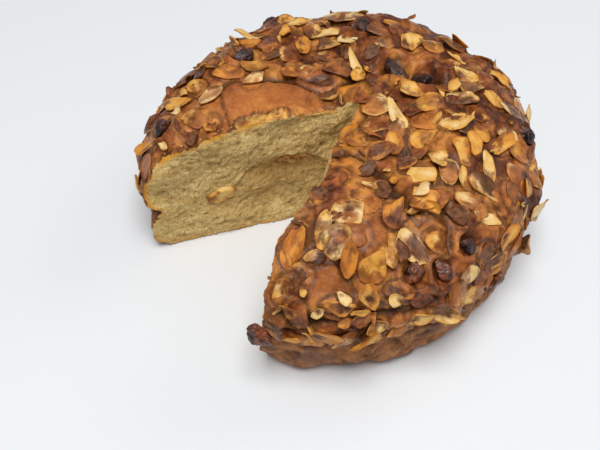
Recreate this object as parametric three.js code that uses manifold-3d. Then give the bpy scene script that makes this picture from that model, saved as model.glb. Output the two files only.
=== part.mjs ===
// An apple bread: a round, lumpy yeast loaf with raisins and apple baked in and flaked almonds baked on,
// with one slice cut out of it. Millimetres, +Z up. The origin is on the table, under the middle of the loaf's box.
//
// A place on the crust is a bearing, in degrees anticlockwise from +X as seen from above, and a reach, in
// millimetres along the crust from the middle of the top. A place on a cut face is how far it lies along the face
// from the notch's inner edge, and its height above the table.
import * as THREE from "three";
import { mergeVertices } from "three/addons/utils/BufferGeometryUtils.js";
import Module from "manifold-3d";

const wasm = await Module();
wasm.setup();

// ---- Driving dimensions ----

const LOAF = { radius: 98.5, height: 72.5, ovalShare: 0.033, ovalBearing: 109.5 };
const SET_DOWN = { x: -0.7, y: -3.5 }; // moves the loaf's axis so that the middle of its box is at the origin
const NOTCH = { apexY: 12, halfAngle: 24.5, outreach: 125, floor: -4, ceiling: 98 };
const FLAKE = { thickness: 1.5, sunk: 0.9, sides: 7, hug: 0.75 };
const GAP = 0.35; // between a raisin or a piece of apple and the bread round it

// The loaf's outline as shares of its radius and height, from the middle of the top down to the middle of the base.
// It is widest above the lip of the almond crust, which overhangs a groove and a plain band round the base.
const OUTLINE = [
  [0, 1], [0.18, 1], [0.38, 1], [0.58, 0.985], [0.75, 0.94], [0.87, 0.85], [0.95, 0.73], [0.99, 0.61],
  [1, 0.51], [0.99, 0.45], [0.96, 0.395], [0.97, 0.3], [0.97, 0.19], [0.955, 0.1], [0.915, 0.027], [0.86, 0],
  [0.6, 0], [0, 0],
];
const LIP = { z: 27, fade: 8 }; // the crust's lumps fade out over this height above the lip
const CROWN = { rows: 13, reach: 117 }; // rows of faces from the middle of the top down to the lip
const BAND_REACHES = [121, 124.5, 128.5, 135, 142, 149, 155, 160, 190]; // rows round the lip and the band, and one under
const BEARINGS = 60; // faces round the loaf

// Rounded bulges of dough: bearing, reach, radius and height.
const BULGES = [
  [321, 62, 27, 3.2], [311, 90, 20, 2.6], [300, 57, 18, 2], [352, 62, 24, 3], [24, 65, 24, 3],
  [46, 46, 22, 3], [30, 20, 24, 2.5], [64, 70, 24, 2.6], [107, 57, 24, 3.4], [145, 40, 22, 3],
  [212, 44, 26, 3.2], [168, 50, 20, 2.6], [203, 72, 20, 2.6], [226, 80, 18, 2.2], [333, 97, 18, 2.4],
  [2, 88, 20, 2.6], [343, 108, 15, 2.4], [22, 90, 20, 2.4], [52, 88, 20, 2.6], [318, 107, 15, 2.2],
  [80, 92, 22, 2.6], [100, 92, 20, 2.8], [122, 80, 24, 3], [141, 96, 22, 2.6], [160, 84, 22, 2.8],
  [182, 86, 20, 2.4], [203, 100, 18, 2.2], [110, 114, 18, 2.2], [152, 116, 18, 2.2], [70, 113, 18, 2],
  [32, 113, 18, 2.4], [188, 114, 16, 2], [225, 112, 16, 2.2],
];
// Folds where two layers of dough meet: depth, width, and the places that each one runs through.
const FOLDS = [
  { depth: 4.2, width: 4.5, along: [[125, 25], [99, 41], [79, 50], [69, 60]] },
  { depth: 2.6, width: 4, along: [[216, 68], [206, 57], [197, 44], [188, 33]] },
  { depth: 3, width: 4.5, along: [[307, 106], [317, 107], [327, 105], [338, 104]] },
  { depth: 2.2, width: 3.5, along: [[320, 25], [335, 32], [342, 44], [342, 59]] },
  { depth: 2, width: 3.5, along: [[321, 72], [319, 82], [320, 93]] },
  { depth: 2.4, width: 4, along: [[356, 68], [351, 85], [348, 97]] },
  { depth: 2, width: 3.5, along: [[4, 36], [16, 48], [10, 64]] },
  { depth: 2.5, width: 4, along: [[120, 60], [135, 72], [150, 76]] },
  { depth: 2.5, width: 4, along: [[88, 106], [110, 101], [130, 108]] },
  { depth: 2.4, width: 4, along: [[170, 100], [190, 96], [207, 90]] },
];
const SWELL = { seed: 11, waves: 14, shortest: 17, longest: 46, height: 0.5, bandShare: 0.8 };

// The flaked almonds that stand out: bearing, reach, length, width, turn from the way outwards, and the lift of
// the end that is baked up off the crust.
const CHOSEN_FLAKES = [
  [320, 60, 16, 14, 90, 0.6], [315, 73, 18, 12, 155, 0.8], [311, 68, 17, 8, 178, 0.5], [320, 80, 18, 9, 170, 2.4],
  [326, 83, 16, 12, 162, 3], [324, 95, 14, 9, 177, 3], [331, 81, 12, 10, 80, 1.8], [339, 80, 18, 11, 10, 1.6],
  [335, 78, 14, 9, 10, 1], [306, 87, 13, 11, 120, 1], [302, 94, 12, 7, 170, 1.6], [303, 77, 18, 8, 174, 2.6],
  [306, 52, 11, 8, 150, 0.5], [356, 55, 15, 12, 30, 2.2], [348, 65, 16, 13, 28, 2.6], [22, 60, 15, 9, 136, 2.2],
  [28, 64, 13, 8, 132, 2.4], [22, 73, 17, 7, 135, 2.4], [14, 77, 18, 10, 175, 1.6], [36, 77, 18, 10, 55, 3],
  [57, 74, 14, 12, 158, 1], [103, 60, 17, 12, 36, 1.8], [74, 66, 14, 13, 101, 1], [73, 36, 13, 11, 170, 2],
  [40, 25, 18, 9, 126, 1.8], [54, 42, 14, 13, 176, 0.8], [41, 53, 17, 14, 26, 0.6], [128, 34, 17, 6, 29, 2.4],
  [164, 65, 17, 7, 157, 2.2], [160, 52, 17, 10, 171, 1.2], [175, 80, 17, 10, 33, 4], [202, 63, 14, 10, 17, 0.8],
  [191, 54, 15, 9, 18, 1.6], [219, 63, 15, 9, 54, 1.6], [217, 84, 16, 14, 14, 2], [237, 71, 14, 10, 80, 1],
  [235, 61, 13, 8, 78, 0.8], [233, 95, 13, 12, 30, 3], [352, 111, 17, 11, 85, 2.6], [353, 101, 13, 9, 69, 1.2],
  [348, 120, 15, 8, 59, 2], [343, 109, 14, 11, 62, 1.6], [337, 109, 11, 9, 91, 1.4], [10, 100, 15, 9, 112, 1.8],
  [4, 108, 14, 10, 110, 1.6], [315, 113, 18, 9, 85, 1.6], [306, 117, 14, 7, 136, 2.4], [317, 98, 15, 8, 86, 2],
  [140, 29, 16, 13, 103, 0.6], [349, 31, 17, 9, 87, 1.4], [356, 46, 12, 8, 90, 0.8], [338, 51, 14, 9, 4, 0.6],
  [358, 77, 14, 12, 39, 0.8], [332, 95, 12, 9, 77, 0.8], [62, 103, 14, 8, 98, 4],
];
// The rest are strewn by a seeded draw, largest first, evenly over what those leave free.
const STREWN = { seed: 5, tries: 2600, spacing: 15.5, count: 46, longest: 17, shortest: 12.5, reach: 122 };
// Stretches of crust that no flake stuck to: bearing, reach and radius.
const BARE = [[222, 48, 15], [206, 34, 13], [191, 22, 10], [329, 69, 9], [313, 88, 7], [240, 52, 10]];

// Raisins: bearing, reach, length, width, height, turn from the way outwards, and how far the middle stands out.
const RAISINS = [
  [99, 42, 17, 9, 8, 70, 2], [82, 50, 13, 10, 9, 80, 2.8], [356, 90, 9, 8, 6, 60, -1.4],
  [345, 93, 10, 8, 7, 20, 0.4], [337, 90, 10, 7, 6, 110, 0.6], [6, 124, 13, 9, 7, 30, 3.4],
  [299, 117, 13, 10, 9, 100, 4], [47, 91, 10, 8, 7, 10, 0.8], [187, 67, 11, 8, 7, 60, 0.8],
  [230, 86, 10, 8, 7, 40, 1], [128, 66, 12, 9, 8, 20, 0.6], [110, 101, 11, 9, 7, 90, 0.8],
  [160, 98, 12, 8, 7, 50, 1], [77, 109, 11, 8, 7, 120, 1.2],
];
// Pieces of apple that the cuts went through: side of the notch, place along the face, height, half-sizes along,
// up and into the crumb, and the turn in the face.
const APPLE_PIECES = [
  ["west", 33, 44, 9, 5, 6, -10], ["west", 70, 30, 8, 5, 6, 25],
  ["east", 28, 38, 9, 6, 6, 20], ["east", 55, 25, 8, 7, 6, -30], ["east", 74, 46, 9, 5, 6, 10],
];
// The ledge in the west face, where the crumb tore and the part under it stands back.
const LEDGE = { top: 49, at: 38, bend: 0.02, soft: 3.5, depth: 4, reach: 24, foot: 24 };

// ---- Small sums ----

const rad = THREE.MathUtils.degToRad;
const smooth = THREE.MathUtils.smoothstep;

// A seeded draw between 0 and 1.
function drawing(seed) {
  let state = seed;
  return () => {
    state = (state + 0x6d2b79f5) | 0;
    let t = Math.imul(state ^ (state >>> 15), 1 | state);
    t = (t + Math.imul(t ^ (t >>> 7), 61 | t)) ^ t;
    return ((t ^ (t >>> 14)) >>> 0) / 4294967296;
  };
}

// Sine waves in seeded directions, which add up to an uneven swell through space.
function wavesOf({ seed, waves, shortest, longest, height }) {
  const draw = drawing(seed);
  return Array.from({ length: waves }, () => {
    const rise = 2 * draw() - 1;
    const bearing = 2 * Math.PI * draw();
    const length = shortest + (longest - shortest) * draw();
    const level = Math.sqrt(1 - rise * rise);
    const way = new THREE.Vector3(level * Math.cos(bearing), level * Math.sin(bearing), rise);
    return { way: way.multiplyScalar((2 * Math.PI) / length), phase: 2 * Math.PI * draw(), height: height * (length / longest) };
  });
}

const sumOf = (waves, p) => waves.reduce((sum, w) => sum + w.height * Math.sin(w.way.dot(p) + w.phase), 0);

// A closed solid from a geometry, and a geometry from a solid.
function solidOf(geometry) {
  const bare = geometry.clone();
  bare.deleteAttribute("normal");
  bare.deleteAttribute("uv");
  const merged = mergeVertices(bare, 1e-4);
  return new wasm.Manifold(
    new wasm.Mesh({
      numProp: 3,
      vertProperties: merged.attributes.position.array,
      triVerts: new Uint32Array(merged.index.array),
    }),
  );
}

function geometryOf(solid) {
  const mesh = solid.getMesh();
  const points = new Float32Array(mesh.numVert * 3);
  for (let i = 0; i < mesh.numVert; i++)
    points.set(mesh.vertProperties.subarray(i * mesh.numProp, i * mesh.numProp + 3), i * 3);
  const geometry = new THREE.BufferGeometry();
  geometry.setAttribute("position", new THREE.BufferAttribute(points, 3));
  geometry.setIndex(new THREE.BufferAttribute(mesh.triVerts, 1));
  return geometry;
}

function geometryFrom(points, faces) {
  const geometry = new THREE.BufferGeometry();
  geometry.setAttribute("position", new THREE.Float32BufferAttribute(points.flatMap((p) => [p.x, p.y, p.z]), 3));
  geometry.setIndex(faces.flat());
  return geometry;
}

// The largest body of a solid: joining leaves scraps and sealed hollows, and neither is part of the loaf.
const largestOf = (solid) => solid.decompose().reduce((best, body) => (body.volume() > best.volume() ? body : best));

// ---- The crust's form ----

const outline = new THREE.SplineCurve(OUTLINE.map(([r, z]) => new THREE.Vector2(r * LOAF.radius, z * LOAF.height)));
const OUTLINE_STEPS = 24 * (OUTLINE.length - 1);
const outlinePoints = outline.getPoints(OUTLINE_STEPS).map((p) => new THREE.Vector2(p.x, Math.max(p.y, 0)));
const reaches = outlinePoints.reduce((list, p, i) => {
  list.push(i ? list[i - 1] + p.distanceTo(outlinePoints[i - 1]) : 0);
  return list;
}, []);

// The outline's point at a reach, and its direction there.
function outlineAt(reach) {
  let i = 1;
  while (i < reaches.length - 1 && reaches[i] < reach) i++;
  const share = (reach - reaches[i - 1]) / (reaches[i] - reaches[i - 1]);
  const point = outlinePoints[i - 1].clone().lerp(outlinePoints[i], share);
  const way = outlinePoints[i].clone().sub(outlinePoints[i - 1]).normalize();
  return { point, way };
}

const ovalAt = (bearing) => 1 + LOAF.ovalShare * Math.cos(2 * (bearing - rad(LOAF.ovalBearing)));

// The smooth loaf's surface at a place, and the direction out of it. The bearing is in radians.
function plainCrust(bearing, reach) {
  const { point, way } = outlineAt(reach);
  const radius = point.x * ovalAt(bearing);
  const level = new THREE.Vector3(Math.cos(bearing), Math.sin(bearing), 0);
  return {
    point: level.clone().multiplyScalar(radius).setZ(point.y),
    out: level.multiplyScalar(-way.y).setZ(way.x),
  };
}

const placeOf = ([bearing, reach]) => plainCrust(rad(bearing), reach).point;
const bulges = BULGES.map(([bearing, reach, radius, height]) => ({ at: placeOf([bearing, reach]), radius, height }));
const folds = FOLDS.map(({ depth, width, along }) => ({ depth, width, line: along.map(placeOf) }));
const swell = wavesOf(SWELL);

// How far a point is from a line through several points.
function distanceToLine(p, line) {
  const nearest = new THREE.Vector3();
  const spans = line.slice(1).map((end, i) => new THREE.Line3(line[i], end));
  return Math.min(...spans.map((span) => span.closestPointToPoint(p, true, nearest).distanceTo(p)));
}

// How far the real crust stands out of the smooth loaf at a point of it.
function reliefAt(p) {
  const crown = smooth(p.z, LIP.z, LIP.z + LIP.fade);
  const band = smooth(p.z, 1, LIP.z / 2) * (1 - crown);
  const swelling = sumOf(swell, p);
  const bulging = Math.max(0, ...bulges.map(({ at, radius, height }) => height * (1 - (p.distanceTo(at) / radius) ** 2)));
  const folding = folds.reduce(
    (sum, { depth, width, line }) => sum + depth * Math.exp(-((distanceToLine(p, line) / width) ** 2)),
    0,
  );
  return crown * (bulging + swelling - folding) + band * SWELL.bandShare * swelling;
}

function crustAt(bearing, reach) {
  const { point, out } = plainCrust(bearing, reach);
  return point.clone().addScaledVector(out, reliefAt(point));
}

// How far a point in space is above the real crust, near enough for what lies on it.
function heightOver(p) {
  const bearing = Math.atan2(p.y, p.x);
  const flat = new THREE.Vector2(Math.hypot(p.x, p.y) / ovalAt(bearing), p.z);
  const gaps = outlinePoints.map((q) => q.distanceToSquared(flat));
  const nearest = gaps.indexOf(Math.min(...gaps));
  const { point, out } = plainCrust(bearing, reaches[nearest]);
  return p.clone().sub(point).dot(out) - reliefAt(point);
}

// The crust's point at a place, with the directions outwards from the middle, sideways and up off the crust.
function frameAt(bearingDegrees, reach) {
  const bearing = rad(bearingDegrees);
  const at = crustAt(bearing, reach);
  const step = 1;
  const outwards = crustAt(bearing, reach + step).sub(at).normalize();
  const { out } = plainCrust(bearing, reach);
  const sideways = out.clone().cross(outwards).normalize();
  return { at, outwards, sideways, up: outwards.clone().cross(sideways) };
}

// ---- The loaf ----

function loafSolid() {
  const crownReaches = Array.from({ length: CROWN.rows + 1 }, (_, i) => (CROWN.reach * i) / CROWN.rows);
  const rows = [...crownReaches, ...BAND_REACHES, reaches.at(-1)];
  const profile = rows.map((reach) => outlineAt(reach).point).reverse();
  const geometry = new THREE.LatheGeometry(profile, BEARINGS);
  geometry.rotateX(Math.PI / 2);
  const position = geometry.attributes.position;
  for (let i = 0; i < position.count; i++) {
    const bearing = Math.atan2(position.getY(i), position.getX(i));
    const reach = rows[rows.length - 1 - (i % rows.length)];
    const p = crustAt(bearing, reach);
    position.setXYZ(i, p.x, p.y, p.z);
  }
  return solidOf(geometry);
}

// ---- The notch ----

const CRUMB = wavesOf({ seed: 23, waves: 12, shortest: 9, longest: 26, height: 0.55 });
const SIDES = { west: -1, east: 1 };

// How far the crumb stands out into the notch at a place on a cut face.
function crumbAt(side, along, z) {
  const free = smooth(along, 0, 14);
  const rough = sumOf(CRUMB, new THREE.Vector3(0.6 * along, 40 * SIDES[side], z));
  if (side === "east") return free * (rough - 1.2 * Math.sin((Math.PI * Math.min(along, 90)) / 90));
  const ledge = LEDGE.top - LEDGE.bend * (along - LEDGE.at) ** 2;
  const under = smooth(ledge - z, 0, LEDGE.soft) * smooth(z, -6, LEDGE.foot);
  const hollow = LEDGE.depth * Math.exp(-(((along - LEDGE.at) / LEDGE.reach) ** 2));
  return free * (rough + 0.8 - hollow * under);
}

// A cut face's frame: the inner edge's foot, the way along it and the way out into the notch.
function faceOf(side) {
  const turn = rad(NOTCH.halfAngle);
  const sign = SIDES[side];
  return {
    foot: new THREE.Vector3(0, NOTCH.apexY, 0),
    along: new THREE.Vector3(sign * Math.sin(turn), -Math.cos(turn), 0),
    out: new THREE.Vector3(-sign * Math.cos(turn), -Math.sin(turn), 0),
  };
}

function facePoint(side, along, z, proud = crumbAt(side, along, z)) {
  const face = faceOf(side);
  return face.foot.clone().addScaledVector(face.along, along).addScaledVector(face.out, proud).setZ(z);
}

// The slice that is cut out: a wedge whose two faces carry the crumb's relief.
function sliceSolid() {
  const pace = 8;
  const steps = Math.round(NOTCH.outreach / pace);
  const levels = Math.round((NOTCH.ceiling - NOTCH.floor) / pace);
  const ring = 2 * steps + 1; // west face from its outer end in to the inner edge, then the east face out again
  const points = [];
  for (let k = 0; k <= levels; k++) {
    const z = NOTCH.floor + ((NOTCH.ceiling - NOTCH.floor) * k) / levels;
    for (let i = 0; i < ring; i++) {
      const along = (NOTCH.outreach * Math.abs(i - steps)) / steps;
      points.push(facePoint(i < steps ? "west" : "east", along, z, i === steps ? 0 : undefined));
    }
  }
  const faces = [];
  for (let k = 0; k < levels; k++)
    for (let i = 0; i < ring; i++) {
      const [a, b] = [k * ring + i, k * ring + ((i + 1) % ring)];
      faces.push([a, b, b + ring], [a, b + ring, a + ring]);
    }
  const top = levels * ring;
  for (let i = 0; i < steps; i++) {
    const mirror = ring - 1 - i;
    faces.push([i, mirror, i + 1], [top + i, top + i + 1, top + mirror]);
    if (i < steps - 1) faces.push([i + 1, mirror, mirror - 1], [top + i + 1, top + mirror - 1, top + mirror]);
  }
  const slice = solidOf(geometryFrom(points, faces));
  if (slice.volume() > 0) return slice;
  return solidOf(geometryFrom(points, faces.map(([a, b, c]) => [a, c, b])));
}

// How far a point of the crust is from the cut face on its side of the notch, and that face's way out.
function nearestFace(p) {
  const face = faceOf(p.x < 0 ? "west" : "east");
  const from = p.clone().sub(face.foot);
  return { distance: from.dot(face.along) > 0 ? -from.dot(face.out) : Infinity, out: face.out };
}

const inNotch = (p) => Math.abs(Math.atan2(p.x, NOTCH.apexY - p.y)) < rad(NOTCH.halfAngle);

// ---- Flaked almonds ----

// A flake is a thin curved oval, pointed at one end, that hugs the crust and lifts off it towards the other end.
function flakeSolid([bearing, reach, length, width, turn, lift]) {
  const { at, outwards, sideways, up } = frameAt(bearing, reach);
  const long = outwards.clone().multiplyScalar(Math.cos(rad(turn))).addScaledVector(sideways, Math.sin(rad(turn)));
  const across = up.clone().cross(long);
  const spot = (u, v, extra) => {
    const p = at.clone().addScaledVector(long, (u * length) / 2).addScaledVector(across, (v * width) / 2);
    const rise = lift * smooth(u, -0.6, 1) + 0.5 * v * v;
    return p.addScaledVector(up, rise + extra - FLAKE.hug * heightOver(p));
  };
  const rim = Array.from({ length: FLAKE.sides }, (_, i) => {
    const angle = (2 * Math.PI * (i + 0.5)) / FLAKE.sides;
    return [Math.cos(angle), Math.sin(angle) * (1 - 0.22 * Math.cos(angle))];
  });
  const top = FLAKE.thickness - FLAKE.sunk;
  const points = [
    spot(0, 0, top), ...rim.map(([u, v]) => spot(u, v, top)),
    spot(0, 0, -FLAKE.sunk), ...rim.map(([u, v]) => spot(u, v, -FLAKE.sunk)),
  ];
  const faces = rim.flatMap((_, i) => {
    const [a, b] = [1 + i, 1 + ((i + 1) % FLAKE.sides)];
    const [c, d] = [a + FLAKE.sides + 1, b + FLAKE.sides + 1];
    return [[0, a, b], [FLAKE.sides + 1, d, c], [a, c, b], [b, c, d]];
  });
  return solidOf(geometryFrom(points, faces));
}

// Moves a flake off the notch, so that at most its edge overhangs a cut face.
function keptOffNotch(flake) {
  const [bearing, reach, length, width, turn, lift] = flake;
  const p = plainCrust(rad(bearing), reach).point;
  const face = nearestFace(p);
  const wanted = 0.42 * width;
  if (inNotch(p) || face.distance >= wanted) return flake;
  p.addScaledVector(face.out, face.distance - wanted);
  return [THREE.MathUtils.radToDeg(Math.atan2(p.y, p.x)), reach, length, width, turn, lift];
}

function strewnFlakes(taken) {
  const draw = drawing(STREWN.seed);
  const bare = BARE.map(([bearing, reach, radius]) => ({ at: placeOf([bearing, reach]), radius }));
  const raisins = RAISINS.map(([bearing, reach, length]) => ({ at: placeOf([bearing, reach]), radius: 5 + length / 2 }));
  const used = taken.map(placeOf);
  const flakes = [];
  for (let i = 0; i < STREWN.tries && flakes.length < STREWN.count; i++) {
    const [aside, along, share, turn, slim, lift] = Array.from({ length: 6 }, draw);
    const reach = STREWN.reach * Math.sqrt(along);
    const p = placeOf([360 * aside, reach]);
    const length = STREWN.longest - (STREWN.longest - STREWN.shortest) * share;
    if (inNotch(p) || nearestFace(p).distance < length / 2) continue;
    if ([...bare, ...raisins].some((spot) => spot.at.distanceTo(p) < spot.radius)) continue;
    if (used.some((q) => q.distanceTo(p) < STREWN.spacing)) continue;
    used.push(p);
    flakes.push([360 * aside, reach, length, length * (0.55 + 0.25 * slim), 360 * turn, 0.4 + 2.6 * lift * lift]);
  }
  return flakes;
}

// ---- Raisins and apple ----

const WRINKLES = wavesOf({ seed: 31, waves: 10, shortest: 3.4, longest: 8, height: 0.3 });

// A wrinkled, dented ball of three half-sizes, with its skin moved out by a margin.
function lumpGeometry(halves, offset, margin) {
  const geometry = new THREE.IcosahedronGeometry(1, 1);
  const position = geometry.attributes.position;
  for (let i = 0; i < position.count; i++) {
    const way = new THREE.Vector3().fromBufferAttribute(position, i);
    const p = way.clone().multiply(halves);
    const swellOut = 0.5 * sumOf(WRINKLES, p.clone().addScaledVector(offset, 10));
    p.addScaledVector(way, swellOut + margin);
    position.setXYZ(i, p.x, p.y, p.z);
  }
  return geometry;
}

function raisinSolid(index, margin) {
  const [bearing, reach, length, width, height, turn, stand] = RAISINS[index];
  const { at, outwards, sideways, up } = frameAt(bearing, reach);
  const frame = new THREE.Matrix4().makeBasis(outwards, sideways, up);
  frame.setPosition(at.addScaledVector(up, stand));
  const geometry = lumpGeometry(
    new THREE.Vector3(length, width, height).divideScalar(2),
    new THREE.Vector3(index, 2 * index, 0),
    margin,
  );
  return solidOf(geometry.rotateZ(rad(turn)).applyMatrix4(frame));
}

function appleSolid(index, margin) {
  const [side, along, z, halfAlong, halfUp, halfDeep, turn] = APPLE_PIECES[index];
  const face = faceOf(side);
  const upright = new THREE.Vector3(0, 0, SIDES[side]);
  const frame = new THREE.Matrix4().makeBasis(face.along, upright, face.out);
  frame.setPosition(facePoint(side, along, z, crumbAt(side, along, z) - 0.35 * halfDeep));
  const geometry = lumpGeometry(
    new THREE.Vector3(halfAlong, halfUp, halfDeep),
    new THREE.Vector3(0, index, 3),
    margin,
  );
  return solidOf(geometry.rotateZ(rad(turn)).applyMatrix4(frame));
}

// ---- The bread, put together ----

const slice = sliceSolid();
const chosen = CHOSEN_FLAKES.map(keptOffNotch);
const flakes = [...chosen, ...strewnFlakes(chosen)];
const cutLoaf = loafSolid().subtract(slice);
const strewn = flakes.reduce((bread, flake) => bread.add(flakeSolid(flake)), cutLoaf);
const sockets = [
  ...RAISINS.map((_, i) => raisinSolid(i, GAP)),
  ...APPLE_PIECES.map((_, i) => appleSolid(i, GAP)),
];
const bread = largestOf(sockets.reduce((solid, socket) => solid.subtract(socket), strewn));

const crust = new THREE.MeshStandardMaterial({ color: 0xa86a38, roughness: 0.5, metalness: 0 });
const raisinSkin = new THREE.MeshStandardMaterial({ color: 0x2a1a18, roughness: 0.45, metalness: 0 });
const appleFlesh = new THREE.MeshStandardMaterial({ color: 0xb08c50, roughness: 0.4, metalness: 0 });

const loaf = new THREE.Group();
loaf.position.set(SET_DOWN.x, SET_DOWN.y, 0);

function addPiece(name, solid, material) {
  const mesh = new THREE.Mesh(geometryOf(solid), material);
  mesh.name = name;
  loaf.add(mesh);
}

addPiece("bread", bread, crust);
RAISINS.forEach((_, i) => addPiece(`raisin_${i + 1}`, raisinSolid(i, 0), raisinSkin));
APPLE_PIECES.forEach((_, i) => addPiece(`apple_piece_${i + 1}`, largestOf(appleSolid(i, 0).subtract(slice)), appleFlesh));

const appleBread = new THREE.Group();
appleBread.add(loaf);
export default appleBread;
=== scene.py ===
"""The looks of an apple bread: a round loaf with raisins, apple and flaked almonds, one slice cut out of it.

Lengths are millimetres in this script, measured from the loaf's axis on the table, and become metres in the
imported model's frame where a mesh is made. A place on the crust is a bearing, in degrees anticlockwise from +X
as seen from above, and a reach, in millimetres along the crust from the middle of the top. A place on a cut
face is how far it lies along the face from the notch's inner edge, and its height above the table.
"""

import logging
import math
from collections.abc import Callable, Sequence
from dataclasses import dataclass, field
from enum import Enum
from typing import NamedTuple

import bpy
import numpy as np
from mathutils import Matrix, Vector, noise


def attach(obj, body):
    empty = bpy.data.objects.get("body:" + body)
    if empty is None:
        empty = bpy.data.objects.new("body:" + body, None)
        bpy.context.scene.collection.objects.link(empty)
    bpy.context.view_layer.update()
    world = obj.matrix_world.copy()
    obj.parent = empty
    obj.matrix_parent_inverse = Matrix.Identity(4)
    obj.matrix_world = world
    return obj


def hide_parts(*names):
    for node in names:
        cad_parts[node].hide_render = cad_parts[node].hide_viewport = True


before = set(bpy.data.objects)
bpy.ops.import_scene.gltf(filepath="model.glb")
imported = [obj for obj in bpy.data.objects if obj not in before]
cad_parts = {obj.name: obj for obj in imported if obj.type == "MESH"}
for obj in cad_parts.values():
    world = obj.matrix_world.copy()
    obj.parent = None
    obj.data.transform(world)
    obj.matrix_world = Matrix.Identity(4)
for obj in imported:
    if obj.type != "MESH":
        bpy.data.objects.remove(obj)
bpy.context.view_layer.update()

LOG = logging.getLogger("apple_bread")
MM = 0.001
LOAF_AXIS = np.array([-0.7, -3.5, 0.0])  # where the loaf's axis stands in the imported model's frame
WORD = 0xFFFFFFFF  # the low 32 bits, in which the seeded draws are worked out
DRAW_STEP = 0x6D2B79F5  # how far a row of draws moves on at each draw


# ---- Small sums ----


def draws(seed: int) -> Callable[[], float]:
    """Starts a seeded row of draws, the same row that the solids were made with.

    Args:
        seed: Picks the row.

    Returns:
        A function whose every call gives the next draw, from 0 up to 1.
    """
    state = seed

    def draw() -> float:
        """Gives the next draw.

        Returns:
            A number from 0 up to 1.
        """
        nonlocal state
        state = (state + DRAW_STEP) & WORD
        t = ((state ^ (state >> 15)) * (1 | state)) & WORD
        t = ((t + (((t ^ (t >> 7)) * (61 | t)) & WORD)) & WORD) ^ t
        return ((t ^ (t >> 14)) & WORD) / (WORD + 1)

    return draw


def smooth(x: np.ndarray | float, low: float, high: float) -> np.ndarray:
    """Eases from 0 at low to 1 at high, level at both ends."""
    t = np.clip((np.asarray(x, float) - low) / (high - low), 0.0, 1.0)
    return t * t * (3.0 - 2.0 * t)


def bell(x: np.ndarray | float, width: float) -> np.ndarray:
    """Gives 1 at 0 and falls off on both sides within a few widths."""
    return np.exp(-((np.asarray(x, float) / width) ** 2))


def unit(vector: np.ndarray) -> np.ndarray:
    """Gives a vector's direction."""
    return vector / np.linalg.norm(vector)


def turned(degrees: float) -> tuple[float, float]:
    """Gives the cosine and the sine of an angle."""
    return math.cos(math.radians(degrees)), math.sin(math.radians(degrees))


def linear(red: int, green: int, blue: int) -> tuple[float, float, float, float]:
    """Turns a colour of 0 to 255, as seen, into the shader's linear colour."""
    seen = [c / 255 for c in (red, green, blue)]
    return (*(c / 12.92 if c <= 0.04045 else ((c + 0.055) / 1.055) ** 2.4 for c in seen), 1.0)


@dataclass(frozen=True)
class Grain:
    """Blender's own noise: the length of its largest lumps, how many finer layers it has, and its shift."""

    length: float
    octaves: int
    shift: float

    def at(self, points: np.ndarray) -> np.ndarray:
        """Gives the noise at each point, about -1 to 1."""
        moved = points / self.length + self.shift
        return np.array([noise.fractal(Vector(p), 1.0, 2.0, self.octaves) for p in moved])


@dataclass(frozen=True)
class Swell:
    """Sine waves in seeded directions, which add up to an uneven swell through space."""

    seed: int
    waves: int
    shortest: float
    longest: float
    height: float

    def at(self, points: np.ndarray) -> np.ndarray:
        """Adds the waves up.

        Args:
            points: One row for each point.

        Returns:
            The swell's height at each point.
        """
        draw = draws(self.seed)
        total = np.zeros(len(points))
        for _ in range(self.waves):
            rise = 2 * draw() - 1
            bearing = 2 * math.pi * draw()
            length = self.shortest + (self.longest - self.shortest) * draw()
            phase = 2 * math.pi * draw()
            level = math.sqrt(1 - rise * rise)
            way = np.array([level * math.cos(bearing), level * math.sin(bearing), rise])
            height = self.height * length / self.longest
            total += height * np.sin(points @ way * (2 * math.pi / length) + phase)
        return total


# ---- The loaf's form, by the same named sizes as its solid ----

# Rounded bulges of dough: bearing, reach, radius and height.
BULGES = (
    (321, 62, 27, 3.2), (311, 90, 20, 2.6), (300, 57, 18, 2), (352, 62, 24, 3), (24, 65, 24, 3),
    (46, 46, 22, 3), (30, 20, 24, 2.5), (64, 70, 24, 2.6), (107, 57, 24, 3.4), (145, 40, 22, 3),
    (212, 44, 26, 3.2), (168, 50, 20, 2.6), (203, 72, 20, 2.6), (226, 80, 18, 2.2), (333, 97, 18, 2.4),
    (2, 88, 20, 2.6), (343, 108, 15, 2.4), (22, 90, 20, 2.4), (52, 88, 20, 2.6), (318, 107, 15, 2.2),
    (80, 92, 22, 2.6), (100, 92, 20, 2.8), (122, 80, 24, 3), (141, 96, 22, 2.6), (160, 84, 22, 2.8),
    (182, 86, 20, 2.4), (203, 100, 18, 2.2), (110, 114, 18, 2.2), (152, 116, 18, 2.2), (70, 113, 18, 2),
    (32, 113, 18, 2.4), (188, 114, 16, 2), (225, 112, 16, 2.2),
)
# Folds where two layers of dough meet: depth, width, and the places that each one runs through.
FOLDS = (
    (4.2, 4.5, ((125, 25), (99, 41), (79, 50), (69, 60))),
    (2.6, 4, ((216, 68), (206, 57), (197, 44), (188, 33))),
    (3, 4.5, ((307, 106), (317, 107), (327, 105), (338, 104))),
    (2.2, 3.5, ((320, 25), (335, 32), (342, 44), (342, 59))),
    (2, 3.5, ((321, 72), (319, 82), (320, 93))),
    (2.4, 4, ((356, 68), (351, 85), (348, 97))),
    (2, 3.5, ((4, 36), (16, 48), (10, 64))),
    (2.5, 4, ((120, 60), (135, 72), (150, 76))),
    (2.5, 4, ((88, 106), (110, 101), (130, 108))),
    (2.4, 4, ((170, 100), (190, 96), (207, 90))),
)
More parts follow.
